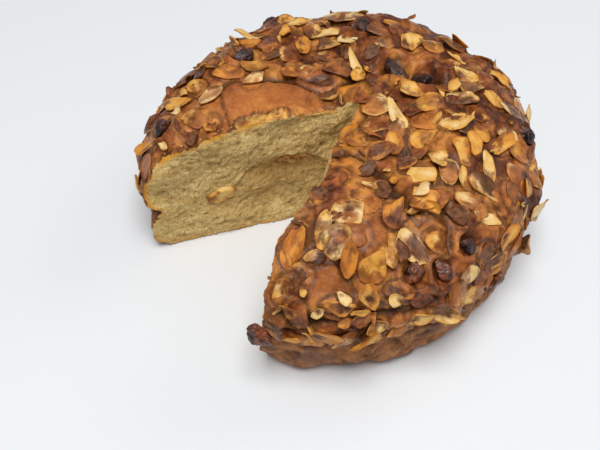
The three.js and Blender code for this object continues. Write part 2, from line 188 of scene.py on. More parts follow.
# Rolls of dough that stand up beside a fold, at negative depth: depth, width and places.
ROLLS = (
    (-2.4, 5.0, ((122, 16), (94, 33), (72, 43), (62, 54))),
    (-1.8, 5.0, ((301, 99), (314, 100), (327, 98), (338, 97))),
    (-1.5, 4.0, ((326, 26), (341, 34), (349, 45), (350, 60))),
    (-1.4, 4.0, ((211, 57), (201, 44), (190, 32))),
    (-1.6, 5.0, ((350, 70), (344, 86), (341, 96))),
)
# Fine creases in the baked skin, too small for the solid: depth, width and places.
CREASES = (
    (1.3, 1.1, ((158, 16), (125, 25), (99, 40), (80, 49))),
    (1.2, 1.0, ((216, 67), (206, 56), (197, 43), (186, 31), (172, 19))),
    (1.2, 1.0, ((302, 104), (310, 107), (320, 106), (330, 105), (342, 103))),
    (1.4, 1.2, ((304, 113), (316, 117), (330, 116), (342, 119), (356, 121))),
    (1.0, 0.9, ((320, 25), (335, 32), (342, 44), (343, 59), (347, 70))),
    (0.9, 0.9, ((303, 86), (309, 80), (316, 82), (321, 93))),
    (1.0, 0.9, ((357, 68), (351, 84), (347, 97))),
    (0.9, 0.9, ((4, 36), (16, 48), (10, 63))),
    (0.9, 0.9, ((34, 58), (30, 74), (38, 90))),
    (0.9, 0.9, ((66, 40), (60, 56), (70, 76))),
    (1.0, 1.0, ((120, 60), (135, 72), (150, 76))),
    (1.0, 1.0, ((88, 106), (110, 101), (130, 108), (150, 104))),
    (1.0, 1.0, ((170, 100), (190, 96), (207, 90))),
    (0.9, 0.9, ((20, 108), (50, 104), (70, 100))),
    (2.0, 1.5, ((324, 130), (325, 140), (326.5, 150), (327, 158))),
    (0.8, 1.0, ((250, 60), (238, 52), (226, 56), (216, 60))),
)
# Strips where the dough burst late and stayed golden: share, width and places.
BURSTS = (
    (0.9, 3.2, ((162, 15), (130, 17), (112, 20), (92, 32), (82, 39))),
    (1.0, 4.5, ((95, 13), (60, 9), (28, 8), (350, 11), (334, 16), (326, 22))),
    (0.8, 3.5, ((322, 30), (319, 38))),
)


@dataclass
class LoafForm:
    """The crust as a formula: a turned outline, made oval, with bulges, a swell and folds on it.

    The grains are those of the relief that is too small for the solid: on the lip, on the base band and on
    the crown. A calm grain says where the wrinkles of its part fade.
    """

    radius: float = 98.5
    height: float = 72.5
    oval_share: float = 0.033
    oval_bearing: float = 109.5
    lip: float = 27.0
    lip_fade: float = 8.0
    band_share: float = 0.8
    swell: Swell = Swell(11, 14, 17, 46, 0.5)
    outline: tuple[tuple[float, float], ...] = (
        (0, 1), (0.18, 1), (0.38, 1), (0.58, 0.985), (0.75, 0.94), (0.87, 0.85), (0.95, 0.73), (0.99, 0.61),
        (1, 0.51), (0.99, 0.45), (0.96, 0.395), (0.97, 0.3), (0.97, 0.19), (0.955, 0.1), (0.915, 0.027),
        (0.86, 0), (0.6, 0), (0, 0),
    )
    steps: int = 24
    batch: int = 8192
    lip_wander: Grain = Grain(24.0, 2, 7.0)
    lip_groove: Grain = Grain(12.0, 1, 2.0)
    lip_edge: Grain = Grain(8.0, 2, 4.0)
    band_lumps: Grain = Grain(15.0, 2, 51.0)
    band_grit: Grain = Grain(4.5, 2, 57.0)
    band_wrinkles: Grain = Grain(13.0, 2, 61.0)
    band_calm: Grain = Grain(20.0, 1, 66.0)
    bumps: Grain = Grain(6.0, 2, 3.0)
    grit: Grain = Grain(2.8, 1, 9.0)
    puffs: Grain = Grain(17.0, 3, 13.0)
    calm: Grain = Grain(30.0, 1, 5.0)
    pleats: Grain = Grain(15.0, 2, 40.0)
    curve: np.ndarray = field(init=False)
    reaches: np.ndarray = field(init=False)
    ways: np.ndarray = field(init=False)

    def __post_init__(self) -> None:
        """Works out the outline's curve, how far along it each point lies, and its directions."""
        corners = np.array(self.outline) * (self.radius, self.height)
        points = []
        for i in range(len(corners) - 1):
            before, start = corners[max(i - 1, 0)], corners[i]
            end, after = corners[i + 1], corners[min(i + 2, len(corners) - 1)]
            leave, arrive = (end - before) / 2, (after - start) / 2
            for t in np.arange(self.steps) / self.steps:
                cubic = (2 * start - 2 * end + leave + arrive) * t**3
                points.append(cubic + (3 * end - 3 * start - 2 * leave - arrive) * t * t + leave * t + start)
        self.curve = np.maximum(np.array([*points, corners[-1]]), 0.0)
        spans = np.diff(self.curve, axis=0)
        self.reaches = np.concatenate([[0.0], np.cumsum(np.hypot(*spans.T))])
        ways = spans / np.hypot(*spans.T)[:, None]
        middle = ways[:-1] + ways[1:]
        middle /= np.linalg.norm(middle, axis=1)[:, None]
        self.ways = np.vstack([ways[:1], middle, ways[-1:]])

    def oval(self, bearing: np.ndarray) -> np.ndarray:
        """Gives the share by which the loaf is wider at each bearing, in radians."""
        return 1 + self.oval_share * np.cos(2 * (bearing - math.radians(self.oval_bearing)))

    def plain(self, bearing: np.ndarray, reach: np.ndarray) -> tuple[np.ndarray, np.ndarray]:
        """Gives the smooth loaf's surface.

        Args:
            bearing: The bearings, in radians.
            reach: The reaches.

        Returns:
            The points and the directions out of the loaf.
        """
        radius, height = (np.interp(reach, self.reaches, self.curve[:, k]) for k in (0, 1))
        ahead, climb = (np.interp(reach, self.reaches, self.ways[:, k]) for k in (0, 1))
        length = np.hypot(ahead, climb)
        radius = radius * self.oval(bearing)
        level = np.stack([np.cos(bearing), np.sin(bearing)], axis=-1)
        points = np.concatenate([level * radius[..., None], height[..., None]], axis=-1)
        out = np.concatenate([level * (-climb / length)[..., None], (ahead / length)[..., None]], axis=-1)
        return points, out

    def place(self, bearing: float, reach: float) -> np.ndarray:
        """Gives the smooth loaf's point at one bearing, in degrees, and reach."""
        return self.plain(np.array([math.radians(bearing)]), np.array([float(reach)]))[0][0]

    def gap(self, points: np.ndarray, bearing: float, reach: float) -> np.ndarray:
        """Gives how far each point is from one place on the smooth loaf."""
        return np.linalg.norm(points - self.place(bearing, reach), axis=1)

    def nearest(self, points: np.ndarray) -> tuple[np.ndarray, np.ndarray]:
        """Finds the place on the smooth loaf nearest to each point.

        Args:
            points: One row for each point.

        Returns:
            The bearings, in radians, and the reaches.
        """
        bearing = np.arctan2(points[:, 1], points[:, 0])
        flat = np.stack([np.hypot(points[:, 0], points[:, 1]) / self.oval(bearing), points[:, 2]], axis=-1)
        found = np.empty(len(points), int)
        for i in range(0, len(points), self.batch):
            part = flat[i : i + self.batch]
            gaps = ((part[:, None, :] - self.curve[None, :, :]) ** 2).sum(axis=-1)
            found[i : i + self.batch] = gaps.argmin(axis=1)
        return bearing, self.reaches[found]

    def lines_depth(self, points: np.ndarray, lines: Sequence[tuple]) -> np.ndarray:
        """Adds up how deep some folds or creases go.

        Args:
            points: Points of the smooth loaf.
            lines: For each line its depth, its width and its places.

        Returns:
            The depth at each point.
        """
        total = np.zeros(len(points))
        for depth, width, places in lines:
            stations = np.array([self.place(*spot) for spot in places])
            gap = np.full(len(points), np.inf)
            for start, end in zip(stations[:-1], stations[1:]):
                span = end - start
                share = np.clip((points - start) @ span / (span @ span), 0.0, 1.0)
                gap = np.minimum(gap, np.linalg.norm(points - start - share[:, None] * span, axis=1))
            total += depth * bell(gap, width)
        return total

    def relief(self, points: np.ndarray, folded: bool = True) -> np.ndarray:
        """Says how far the crust stands out of the smooth loaf.

        Args:
            points: Points of the smooth loaf.
            folded: Whether the folds are cut in, as they aren't under a flake that bridges them.

        Returns:
            The height at each point.
        """
        crown = smooth(points[:, 2], self.lip, self.lip + self.lip_fade)
        bulging = np.zeros(len(points))
        for bearing, reach, radius, height in BULGES:
            dome = height * (1 - (self.gap(points, bearing, reach) / radius) ** 2)
            bulging = np.maximum(bulging, dome)
        swelling = self.swell.at(points)
        band = smooth(points[:, 2], 1.0, self.lip / 2) * (1 - crown)
        folding = self.lines_depth(points, FOLDS) if folded else 0.0
        return crown * (bulging + swelling - folding) + band * self.band_share * swelling

    def over_lip(self, points: np.ndarray) -> np.ndarray:
        """Says how far points are above the lip, which wanders up and down round the loaf."""
        return points[:, 2] - self.lip - 1.0 - 2.6 * self.lip_wander.at(points * (1.0, 1.0, 0.25))

    def lip_relief(self, points: np.ndarray, above: np.ndarray) -> np.ndarray:
        """Gives the ragged lip of the crown and the groove under it, where the base band starts.

        Args:
            points: Points of the smooth loaf.
            above: How far they are above the lip.

        Returns:
            The height at each point.
        """
        around = points * (1.0, 1.0, 0.25)
        groove = bell(above, 1.7) * (1.5 + 1.4 * self.lip_groove.at(around))
        edge = bell(above - 3.6, 2.4) * (1.4 + 1.9 * self.lip_edge.at(around))
        return edge - groove

    def band_relief(self, points: np.ndarray, above: np.ndarray) -> tuple[np.ndarray, np.ndarray]:
        """Gives the base band's lumps and its lying wrinkles.

        Args:
            points: Points of the smooth loaf.
            above: How far they are above the lip.

        Returns:
            The height at each point, and how much of a wrinkle it is in, 0 to 1, which the finish paints as
            shade.
        """
        below = smooth(above, 0.5, -2.5) * smooth(points[:, 2], 0.5, 5.0)
        lumps = 2.1 * self.band_lumps.at(points * (1.0, 1.0, 1.4)) + 0.6 * self.band_grit.at(points)
        lying = points * (0.5, 0.5, 1.7) + 0.3 * points[:, [1, 2, 0]]
        wrinkle = bell(self.band_wrinkles.at(lying), 0.07) * smooth(self.band_calm.at(points), -0.1, 0.3)
        return below * (lumps - 1.3 * wrinkle), below * wrinkle

    def fine_relief(self, points: np.ndarray) -> tuple[np.ndarray, np.ndarray]:
        """Gives the relief that is too small for the solid.

        Args:
            points: Points of the smooth loaf.

        Returns:
            The height at each point, and how tightly creased it is there, 0 to 1, which the finish paints as
            shade.
        """
        above = self.over_lip(points)
        crown = smooth(above, -2.0, 2.5)
        rugged = 1 - 0.7 * self.bare(points)
        bumps = rugged * (0.35 * self.bumps.at(points) + 0.25 * self.grit.at(points))
        puff = np.abs(self.puffs.at(points)) * rugged
        wrinkle = bell(puff, 0.07) * smooth(self.calm.at(points), -0.2, 0.3)
        creasing = self.lines_depth(points, CREASES)
        rolls = self.lines_depth(points, ROLLS)
        slanted = points * (1.0, 1.0, 3.2) + 0.35 * points[:, [1, 2, 0]]
        pleats = bell(self.pleats.at(slanted), 0.1) * bell(points[:, 2] - 36, 16.0) * rugged
        lift = 2.0 * np.minimum(puff, 0.7) - 0.9 + bumps - 0.6 * wrinkle - 0.9 * pleats - rolls
        lift *= crown
        lumpy, wrinkled = self.band_relief(points, above)
        lift += self.lip_relief(points, above) + lumpy - creasing * (0.5 + 0.5 * crown)
        # The creases, pleats and wrinkles, the base band's too, are painted darker as shade by the finish.
        crease_shading = np.clip(0.8 * wrinkle * rugged + 0.6 * pleats + creasing, 0.0, 1.0) * (0.3 + 0.7 * crown)
        return lift, np.maximum(crease_shading, 0.75 * wrinkled)

    def bare(self, points: np.ndarray) -> np.ndarray:
        """Says how far each point is in a stretch of smooth crust without almonds, 0 to 1."""
        inside = [smooth(self.gap(points, *spot), size + 2, size - 4) for *spot, size in BARE]
        return np.max(inside, axis=0)

    def height_over(self, points: np.ndarray) -> np.ndarray:
        """Says how far points are above the crust without its folds.

        Args:
            points: One row for each point.

        Returns:
            The height of each.
        """
        base, out = self.plain(*self.nearest(points))
        return ((points - base) * out).sum(axis=1) - self.relief(base, folded=False)

    def frame_at(self, bearing: float, reach: float, folded: bool = False) -> tuple[np.ndarray, ...]:
        """Gives the crust's own directions at a place.

        Args:
            bearing: The bearing, in degrees.
            reach: The reach.
            folded: Whether the folds are cut in.

        Returns:
            The point, and the directions outwards from the middle, sideways and up off the crust.
        """
        base, out = self.plain(np.full(2, math.radians(bearing)), np.array([reach, reach + 1.0]))
        here, beyond = base + out * self.relief(base, folded)[:, None]
        outwards = unit(beyond - here)
        sideways = unit(np.cross(out[0], outwards))
        return here, outwards, sideways, np.cross(outwards, sideways)


class Side(Enum):
    """The two faces of the notch, by the side of the loaf that they belong to."""

    WEST = -1
    EAST = 1


@dataclass
class Notch:
    """The slice that is missing: a wedge whose faces carry the torn crumb's relief."""

    apex: float = 12.0
    half_angle: float = 24.5
    outreach: float = 125.0
    floor: float = -4.0
    ceiling: float = 98.0
    rough: Swell = Swell(23, 12, 9, 26, 0.55)
    rough_apart: float = 40.0
    free_from: float = 14.0
    dish_depth: float = 1.2
    dish_length: float = 90.0
    ledge_proud: float = 0.8
    ledge_top: float = 49.0
    ledge_at: float = 38.0
    ledge_bend: float = 0.02
    ledge_soft: float = 3.5
    ledge_depth: float = 4.0
    ledge_reach: float = 24.0
    ledge_foot: float = 24.0

    def axes(self, side: Side) -> tuple[np.ndarray, np.ndarray, np.ndarray]:
        """Gives the directions that a cut face is read by.

        Args:
            side: Which face.

        Returns:
            The foot of the inner edge, the way along the face and the way out into the notch.
        """
        c, s = turned(self.half_angle)
        along = np.array([side.value * s, -c, 0.0])
        out = np.array([-side.value * c, -s, 0.0])
        return np.array([0.0, self.apex, 0.0]), along, out

    def read(self, side: Side, points: np.ndarray) -> tuple[np.ndarray, np.ndarray]:
        """Says how far points lie along a cut face, and how far out of it into the notch."""
        foot, along, out = self.axes(side)
        return (points - foot) @ along, (points - foot) @ out

    def drop(self, along: np.ndarray, height: np.ndarray) -> np.ndarray:
        """Says how far places on the west face are below the edge of its ledge."""
        return self.ledge_top - self.ledge_bend * (along - self.ledge_at) ** 2 - height

    def crumb(self, side: Side, along: np.ndarray, height: np.ndarray) -> np.ndarray:
        """Says how far the crumb stands out into the notch.

        Args:
            side: Which face.
            along: How far along it.
            height: The heights above the table.

        Returns:
            The relief at each place.
        """
        free = smooth(along, 0.0, self.free_from)
        aside = np.full(len(along), self.rough_apart * side.value)
        rough = self.rough.at(np.stack([0.6 * along, aside, height], axis=-1))
        if side is Side.EAST:
            dish = np.sin(math.pi * np.minimum(along, self.dish_length) / self.dish_length)
            return free * (rough - self.dish_depth * dish)
        under = smooth(self.drop(along, height), 0.0, self.ledge_soft) * smooth(height, -6.0, self.ledge_foot)
        hollow = self.ledge_depth * bell(along - self.ledge_at, self.ledge_reach)
        return free * (rough + self.ledge_proud - hollow * under)

    def inside(self, point: np.ndarray) -> bool:
        """Says whether a point is in the notch."""
        return abs(math.atan2(point[0], self.apex - point[1])) < math.radians(self.half_angle)

    def distance(self, point: np.ndarray) -> tuple[float, np.ndarray]:
        """Says how far a point is behind the cut face on its side.

        Args:
            point: The point.

        Returns:
            The distance, endless beside the inner edge, and that face's way out.
        """
        side = Side.WEST if point[0] < 0 else Side.EAST
        along, proud = self.read(side, point[None, :])
        return (-proud[0] if along[0] > 0 else math.inf), self.axes(side)[2]


FORM = LoafForm()
NOTCH = Notch()


# ---- Work on meshes ----


def select_only(piece: bpy.types.Object) -> None:
    """Makes one object the only one selected, and active.

    Args:
        piece: The object.
    """
    bpy.ops.object.select_all(action="DESELECT")
    piece.select_set(True)
    bpy.context.view_layer.objects.active = piece


def apply_modifier(piece: bpy.types.Object, kind: str, **settings: object) -> None:
    """Adds one modifier with its settings and applies it.

    Args:
        piece: The object.
        kind: The modifier's type.
        settings: Its properties.
    """
    select_only(piece)
    modifier = piece.modifiers.new(kind.lower(), kind)
    for name, value in settings.items():
        setattr(modifier, name, value)
    bpy.ops.object.modifier_apply(modifier=modifier.name)


def edit_faces(piece: bpy.types.Object, chosen: Sequence[bool]) -> None:
    """Opens a mesh for editing with some of its faces selected.

    Args:
        piece: The object.
        chosen: Whether each face is selected.
    """
    select_only(piece)
    bpy.ops.object.mode_set(mode="EDIT")
    bpy.ops.mesh.select_mode(type="FACE")
    bpy.ops.mesh.select_all(action="DESELECT")
    bpy.ops.object.mode_set(mode="OBJECT")
    piece.data.polygons.foreach_set("select", np.array(chosen))
    bpy.ops.object.mode_set(mode="EDIT")


def faces_within(piece: bpy.types.Object, inside: np.ndarray) -> list[bool]:
    """Says for each face whether all of its points are among the chosen ones."""
    return [all(inside[v] for v in face.vertices) for face in piece.data.polygons]


def raw_points(mesh: bpy.types.Mesh) -> np.ndarray:
    """Gives a mesh's points as they are stored.

    Args:
        mesh: The mesh.

    Returns:
        One row for each point.
    """
    flat = np.empty(len(mesh.vertices) * 3, np.float32)
    mesh.vertices.foreach_get("co", flat)
    return flat.reshape(-1, 3).astype(float)


def read_points(mesh: bpy.types.Mesh) -> np.ndarray:
    """Gives a mesh's points in millimetres from the loaf's axis."""
    return raw_points(mesh) / MM - LOAF_AXIS


def write_points(mesh: bpy.types.Mesh, points: np.ndarray) -> None:
    """Moves a mesh's points to places in millimetres from the loaf's axis."""
    mesh.vertices.foreach_set("co", ((points + LOAF_AXIS) * MM).astype(np.float32).ravel())
    mesh.update()


def write_attribute(mesh: bpy.types.Mesh, name: str, values: np.ndarray) -> None:
    """Stores one number for each point, for a material to read."""
    attribute = mesh.attributes.new(name, "FLOAT", "POINT")
    attribute.data.foreach_set("value", values.astype(np.float32))


def add_ball(subdivisions: int) -> tuple[bpy.types.Object, np.ndarray]:
    """Adds a ball of radius 1.

    Args:
        subdivisions: How fine it is.

    Returns:
        The object and its points.
    """
    bpy.ops.object.select_all(action="DESELECT")
    bpy.ops.mesh.primitive_ico_sphere_add(subdivisions=subdivisions, radius=1.0)
    piece = bpy.context.object
    return piece, raw_points(piece.data)


def joined(meshes: Sequence[bpy.types.Mesh]) -> bpy.types.Object:
    """Makes one object of many meshes.

    Args:
        meshes: The meshes.

    Returns:
        The object.
    """
    copies = [bpy.data.objects.new(f"copy_{number}", mesh) for number, mesh in enumerate(meshes)]
    for copy in copies:
        bpy.context.collection.objects.link(copy)
    select_only(copies[0])
    for copy in copies:
        copy.select_set(True)
    bpy.ops.object.join()
    return bpy.context.object


def finish_piece(
    piece: bpy.types.Object, material: bpy.types.Material, name: str, slot: str, *nodes: str
) -> bpy.types.Object:
    """Dresses and names a piece, smooths its shading and lets it stand for its nodes.

    Args:
        piece: The object.
        material: Its material.
        name: Its name.
        slot: The record's material slot; not used.
        nodes: The nodes that it stands for.

    Returns:
        The same object.
    """
    piece.data.materials.clear()
    piece.data.materials.append(material)
    piece.name = name
    piece.data.name = name
    select_only(piece)
    bpy.ops.object.shade_smooth()
    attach(piece, "root")
    if nodes:
        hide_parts(*nodes)
    LOG.info("%s: %d faces", name, len(piece.data.polygons))
    return piece


# ---- Shader building ----


class Sheet:
    """A node tree that is written one node at a time."""

    def __init__(self, tree: bpy.types.NodeTree) -> None:
        """Keeps the tree."""
        self.tree = tree

    def put(self, socket: bpy.types.NodeSocket, value: object) -> None:
        """Gives an input what it reads.

        Args:
            socket: The input.
            value: A socket to link from, or a plain value.
        """
        if isinstance(value, bpy.types.NodeSocket):
            self.tree.links.new(value, socket)
        else:
            socket.default_value = value

    def add(
        self, kind: str, inputs: dict[int | str, object] | None = None, **settings: object
    ) -> bpy.types.Node:
        """Adds one node.

        Args:
            kind: The node's type.
            inputs: What its sockets get, by name or number: a socket to link from, or a value.
            settings: Its properties.

        Returns:
            The node.
        """
        node = self.tree.nodes.new(kind)
        for name, value in settings.items():
            setattr(node, name, value)
        for name, value in (inputs or {}).items():
            self.put(node.inputs[name], value)
        return node

    def sum(self, operation: str, *values: object, clamp: bool = False) -> bpy.types.NodeSocket:
        """Adds a Math node and gives its result."""
        node = self.add("ShaderNodeMath", dict(enumerate(values)), operation=operation, use_clamp=clamp)
        return node.outputs[0]

    def times(self, first: object, second: object, clamp: bool = False) -> bpy.types.NodeSocket:
        """Multiplies two values."""
        return self.sum("MULTIPLY", first, second, clamp=clamp)

    def line(self, value: object, slope: object, start: object, clamp: bool = False) -> bpy.types.NodeSocket:
        """Multiplies a value by a slope and adds a start."""
        return self.sum("MULTIPLY_ADD", value, slope, start, clamp=clamp)

    def centred(self, value: object) -> bpy.types.NodeSocket:
        """Moves a pattern of 0 to 1 so that its middle is 0."""
        return self.sum("SUBTRACT", value, 0.5)

    def left(self, value: object, clamp: bool = False) -> bpy.types.NodeSocket:
        """Gives what a value leaves of 1."""
        return self.sum("SUBTRACT", 1.0, value, clamp=clamp)

    def lot(self, seed: object, spread: float) -> bpy.types.NodeSocket:
        """Draws a number of 0 to 1 from a seed, another one with each spread."""
        return self.sum("FRACT", self.times(seed, spread))

    def ease(self, value: object, low: float, high: float) -> bpy.types.NodeSocket:
        """Eases a value from 0 at low to 1 at high."""
        inputs = {"Value": value, "From Min": low, "From Max": high}
        return self.add("ShaderNodeMapRange", inputs, interpolation_type="SMOOTHSTEP").outputs["Result"]

    def ramp(self, value: object, *stops: tuple[float, tuple]) -> bpy.types.NodeSocket:
        """Turns a value into a colour.

        Args:
            value: The value.
            stops: The places along the row of colours, and the colour at each.

        Returns:
            The colour.
        """
        node = self.add("ShaderNodeValToRGB", {"Fac": value})
        elements = node.color_ramp.elements
        while len(elements) < len(stops):
            elements.new(0.5)
        for element, (place, colour) in zip(elements, stops):
            element.position = place
            element.color = colour
        return node.outputs["Color"]

    def mix(self, share: object, first: object, second: object) -> bpy.types.NodeSocket:
        """Mixes two colours.

        Args:
            share: How much of the second colour shows, 0 to 1.
            first: The first colour.
            second: The second colour.

        Returns:
            The mixed colour.
        """
        node = self.add("ShaderNodeMix", data_type="RGBA", blend_type="MIX", clamp_factor=True)
        sockets = {"Factor_Float": share, "A_Color": first, "B_Color": second}
        for socket in node.inputs:
            if socket.identifier in sockets:
                self.put(socket, sockets[socket.identifier])
        return next(socket for socket in node.outputs if socket.identifier == "Result_Color")

    def attribute(self, name: str) -> bpy.types.NodeSocket:
        """Reads a number that is stored on the mesh."""
        return self.add("ShaderNodeAttribute", attribute_name=name).outputs["Fac"]

    def noise(
        self, where: object, scale: object, detail: float = 4.0, rough: float = 0.55, distortion: float = 0.0
    ) -> bpy.types.NodeSocket:
        """Adds a noise pattern.

        Args:
            where: The coordinates.
            scale: How many lumps there are in a metre.
            detail: How many finer layers it has.
            rough: How strong the finer layers are.
            distortion: How far the pattern is pulled about.

        Returns:
            Its value, 0 to 1.
        """
        inputs = {"Vector": where, "Scale": scale, "Detail": detail, "Roughness": rough}
        inputs["Distortion"] = distortion
        return self.add("ShaderNodeTexNoise", inputs).outputs["Fac"]

    def stretched(self, where: object, *scale: float) -> bpy.types.NodeSocket:
        """Scales coordinates by a factor for each axis."""
        return self.add("ShaderNodeMapping", {"Vector": where, "Scale": scale}).outputs[0]

    def cells(self, where: object, scale: float) -> tuple[bpy.types.NodeSocket, Sequence]:
        """Adds a pattern of cells.

        Args:
            where: The coordinates.
            scale: How many cells there are in a metre.

        Returns:
            The distance from a cell's middle, and each cell's own three numbers.
        """
        node = self.add("ShaderNodeTexVoronoi", {"Vector": where, "Scale": scale})
        own = self.add("ShaderNodeSeparateColor", {0: node.outputs["Color"]})
        return node.outputs["Distance"], own.outputs

    def mottle(self, where: object, patch: float, grain: float) -> Sequence:
        """Places the shared mottle group, and gives its patches, grain and height."""
        inputs = {"Vector": where, "Patch scale": patch, "Grain scale": grain}
        return self.add("ShaderNodeGroup", inputs, node_tree=MOTTLE).outputs


def mottle_group() -> bpy.types.NodeTree:
    """Builds the group that gives baked surfaces their uneven colour and fine grain.

    Returns:
        The group: from coordinates and two scales to patches, grain and a height for bumps.
    """
    tree = bpy.data.node_groups.new("baked_mottle", "ShaderNodeTree")
    kinds = {"Vector": "NodeSocketVector", "Patch scale": "NodeSocketFloat", "Grain scale": "NodeSocketFloat"}
    for name, kind in kinds.items():
        tree.interface.new_socket(name, in_out="INPUT", socket_type=kind)
    for name in ("Patches", "Grain", "Height"):
        tree.interface.new_socket(name, in_out="OUTPUT", socket_type="NodeSocketFloat")
    sheet = Sheet(tree)
    given = sheet.add("NodeGroupInput").outputs
    patches = sheet.noise(given["Vector"], given["Patch scale"], 3.0, 0.6, 0.7)
    grain = sheet.noise(given["Vector"], given["Grain scale"], 5.0, 0.65)
    height = sheet.sum("ADD", sheet.times(patches, 0.35), sheet.times(grain, 1.3))
    sheet.add("NodeGroupOutput", {"Patches": patches, "Grain": grain, "Height": height})
    return tree


MOTTLE = mottle_group()
GLAZE_PATCH = 60.0  # the mottle scales of the egg-washed crust, also where it covers a flake
GLAZE_GRAIN = 520.0


@dataclass(frozen=True)
class Finish:
    """What every finish shares: a name, the principled shader's plain numbers, and a bump.

    The bump is its strength and its depth in millimetres.
    """

    name: str
    subsurface: float = 0.0
    subsurface_radius: tuple[float, float, float] = (1.0, 0.5, 0.25)
    subsurface_scale: float = 0.002
    coat_roughness: float = 0.25
    specular: float = 0.5
    bump: tuple[float, float] = (0.6, 0.25)

    def start(self) -> tuple[bpy.types.Material, Sheet, bpy.types.NodeSocket, bpy.types.Node]:
        """Makes the material with its shader.

        Returns:
            The material, its sheet of nodes, the object's coordinates and the principled shader.
        """
        material = bpy.data.materials.new(self.name)
        material.use_nodes = True
        material.node_tree.nodes.clear()
        sheet = Sheet(material.node_tree)
        inputs = {
            "Subsurface Weight": self.subsurface,
            "Subsurface Radius": self.subsurface_radius,
            "Subsurface Scale": self.subsurface_scale,
            "Coat Roughness": self.coat_roughness,
            "Specular IOR Level": self.specular,
        }
        shader = sheet.add("ShaderNodeBsdfPrincipled", inputs)
        sheet.add("ShaderNodeOutputMaterial", {"Surface": shader.outputs["BSDF"]})
        return material, sheet, sheet.add("ShaderNodeTexCoord").outputs["Object"], shader

    def wire(
        self, sheet: Sheet, shader: bpy.types.Node, colour: object, rough: object, height: object
    ) -> None:
        """Links the shader's colour, roughness and bump.

        Args:
            sheet: The material's nodes.
            shader: The principled shader.
            colour: The colour.
            rough: The roughness.
            height: The pattern that the bump is made of.
        """
        strength, depth = self.bump
        inputs = {"Height": height, "Strength": strength, "Distance": depth * MM}
        sheet.put(shader.inputs["Base Color"], colour)
        sheet.put(shader.inputs["Roughness"], rough)
        sheet.put(shader.inputs["Normal"], sheet.add("ShaderNodeBump", inputs).outputs["Normal"])


# ---- Finishes ----


@dataclass(frozen=True)
class CrustTones:
    """The colours that egg-washed crust goes through as it bakes."""

    honey: tuple = linear(212, 138, 66)
    copper: tuple = linear(180, 106, 52)
    chestnut: tuple = linear(144, 78, 36)
    mahogany: tuple = linear(92, 40, 14)
    char: tuple = linear(48, 18, 5)

    def ramp(self, sheet: Sheet, tone: object) -> bpy.types.NodeSocket:
        """Turns how baked the crust is, 0 to 1, into its colour."""
        light = ((0.02, self.honey), (0.26, self.copper), (0.5, self.chestnut))
        return sheet.ramp(tone, *light, (0.76, self.mahogany), (1.0, self.char))


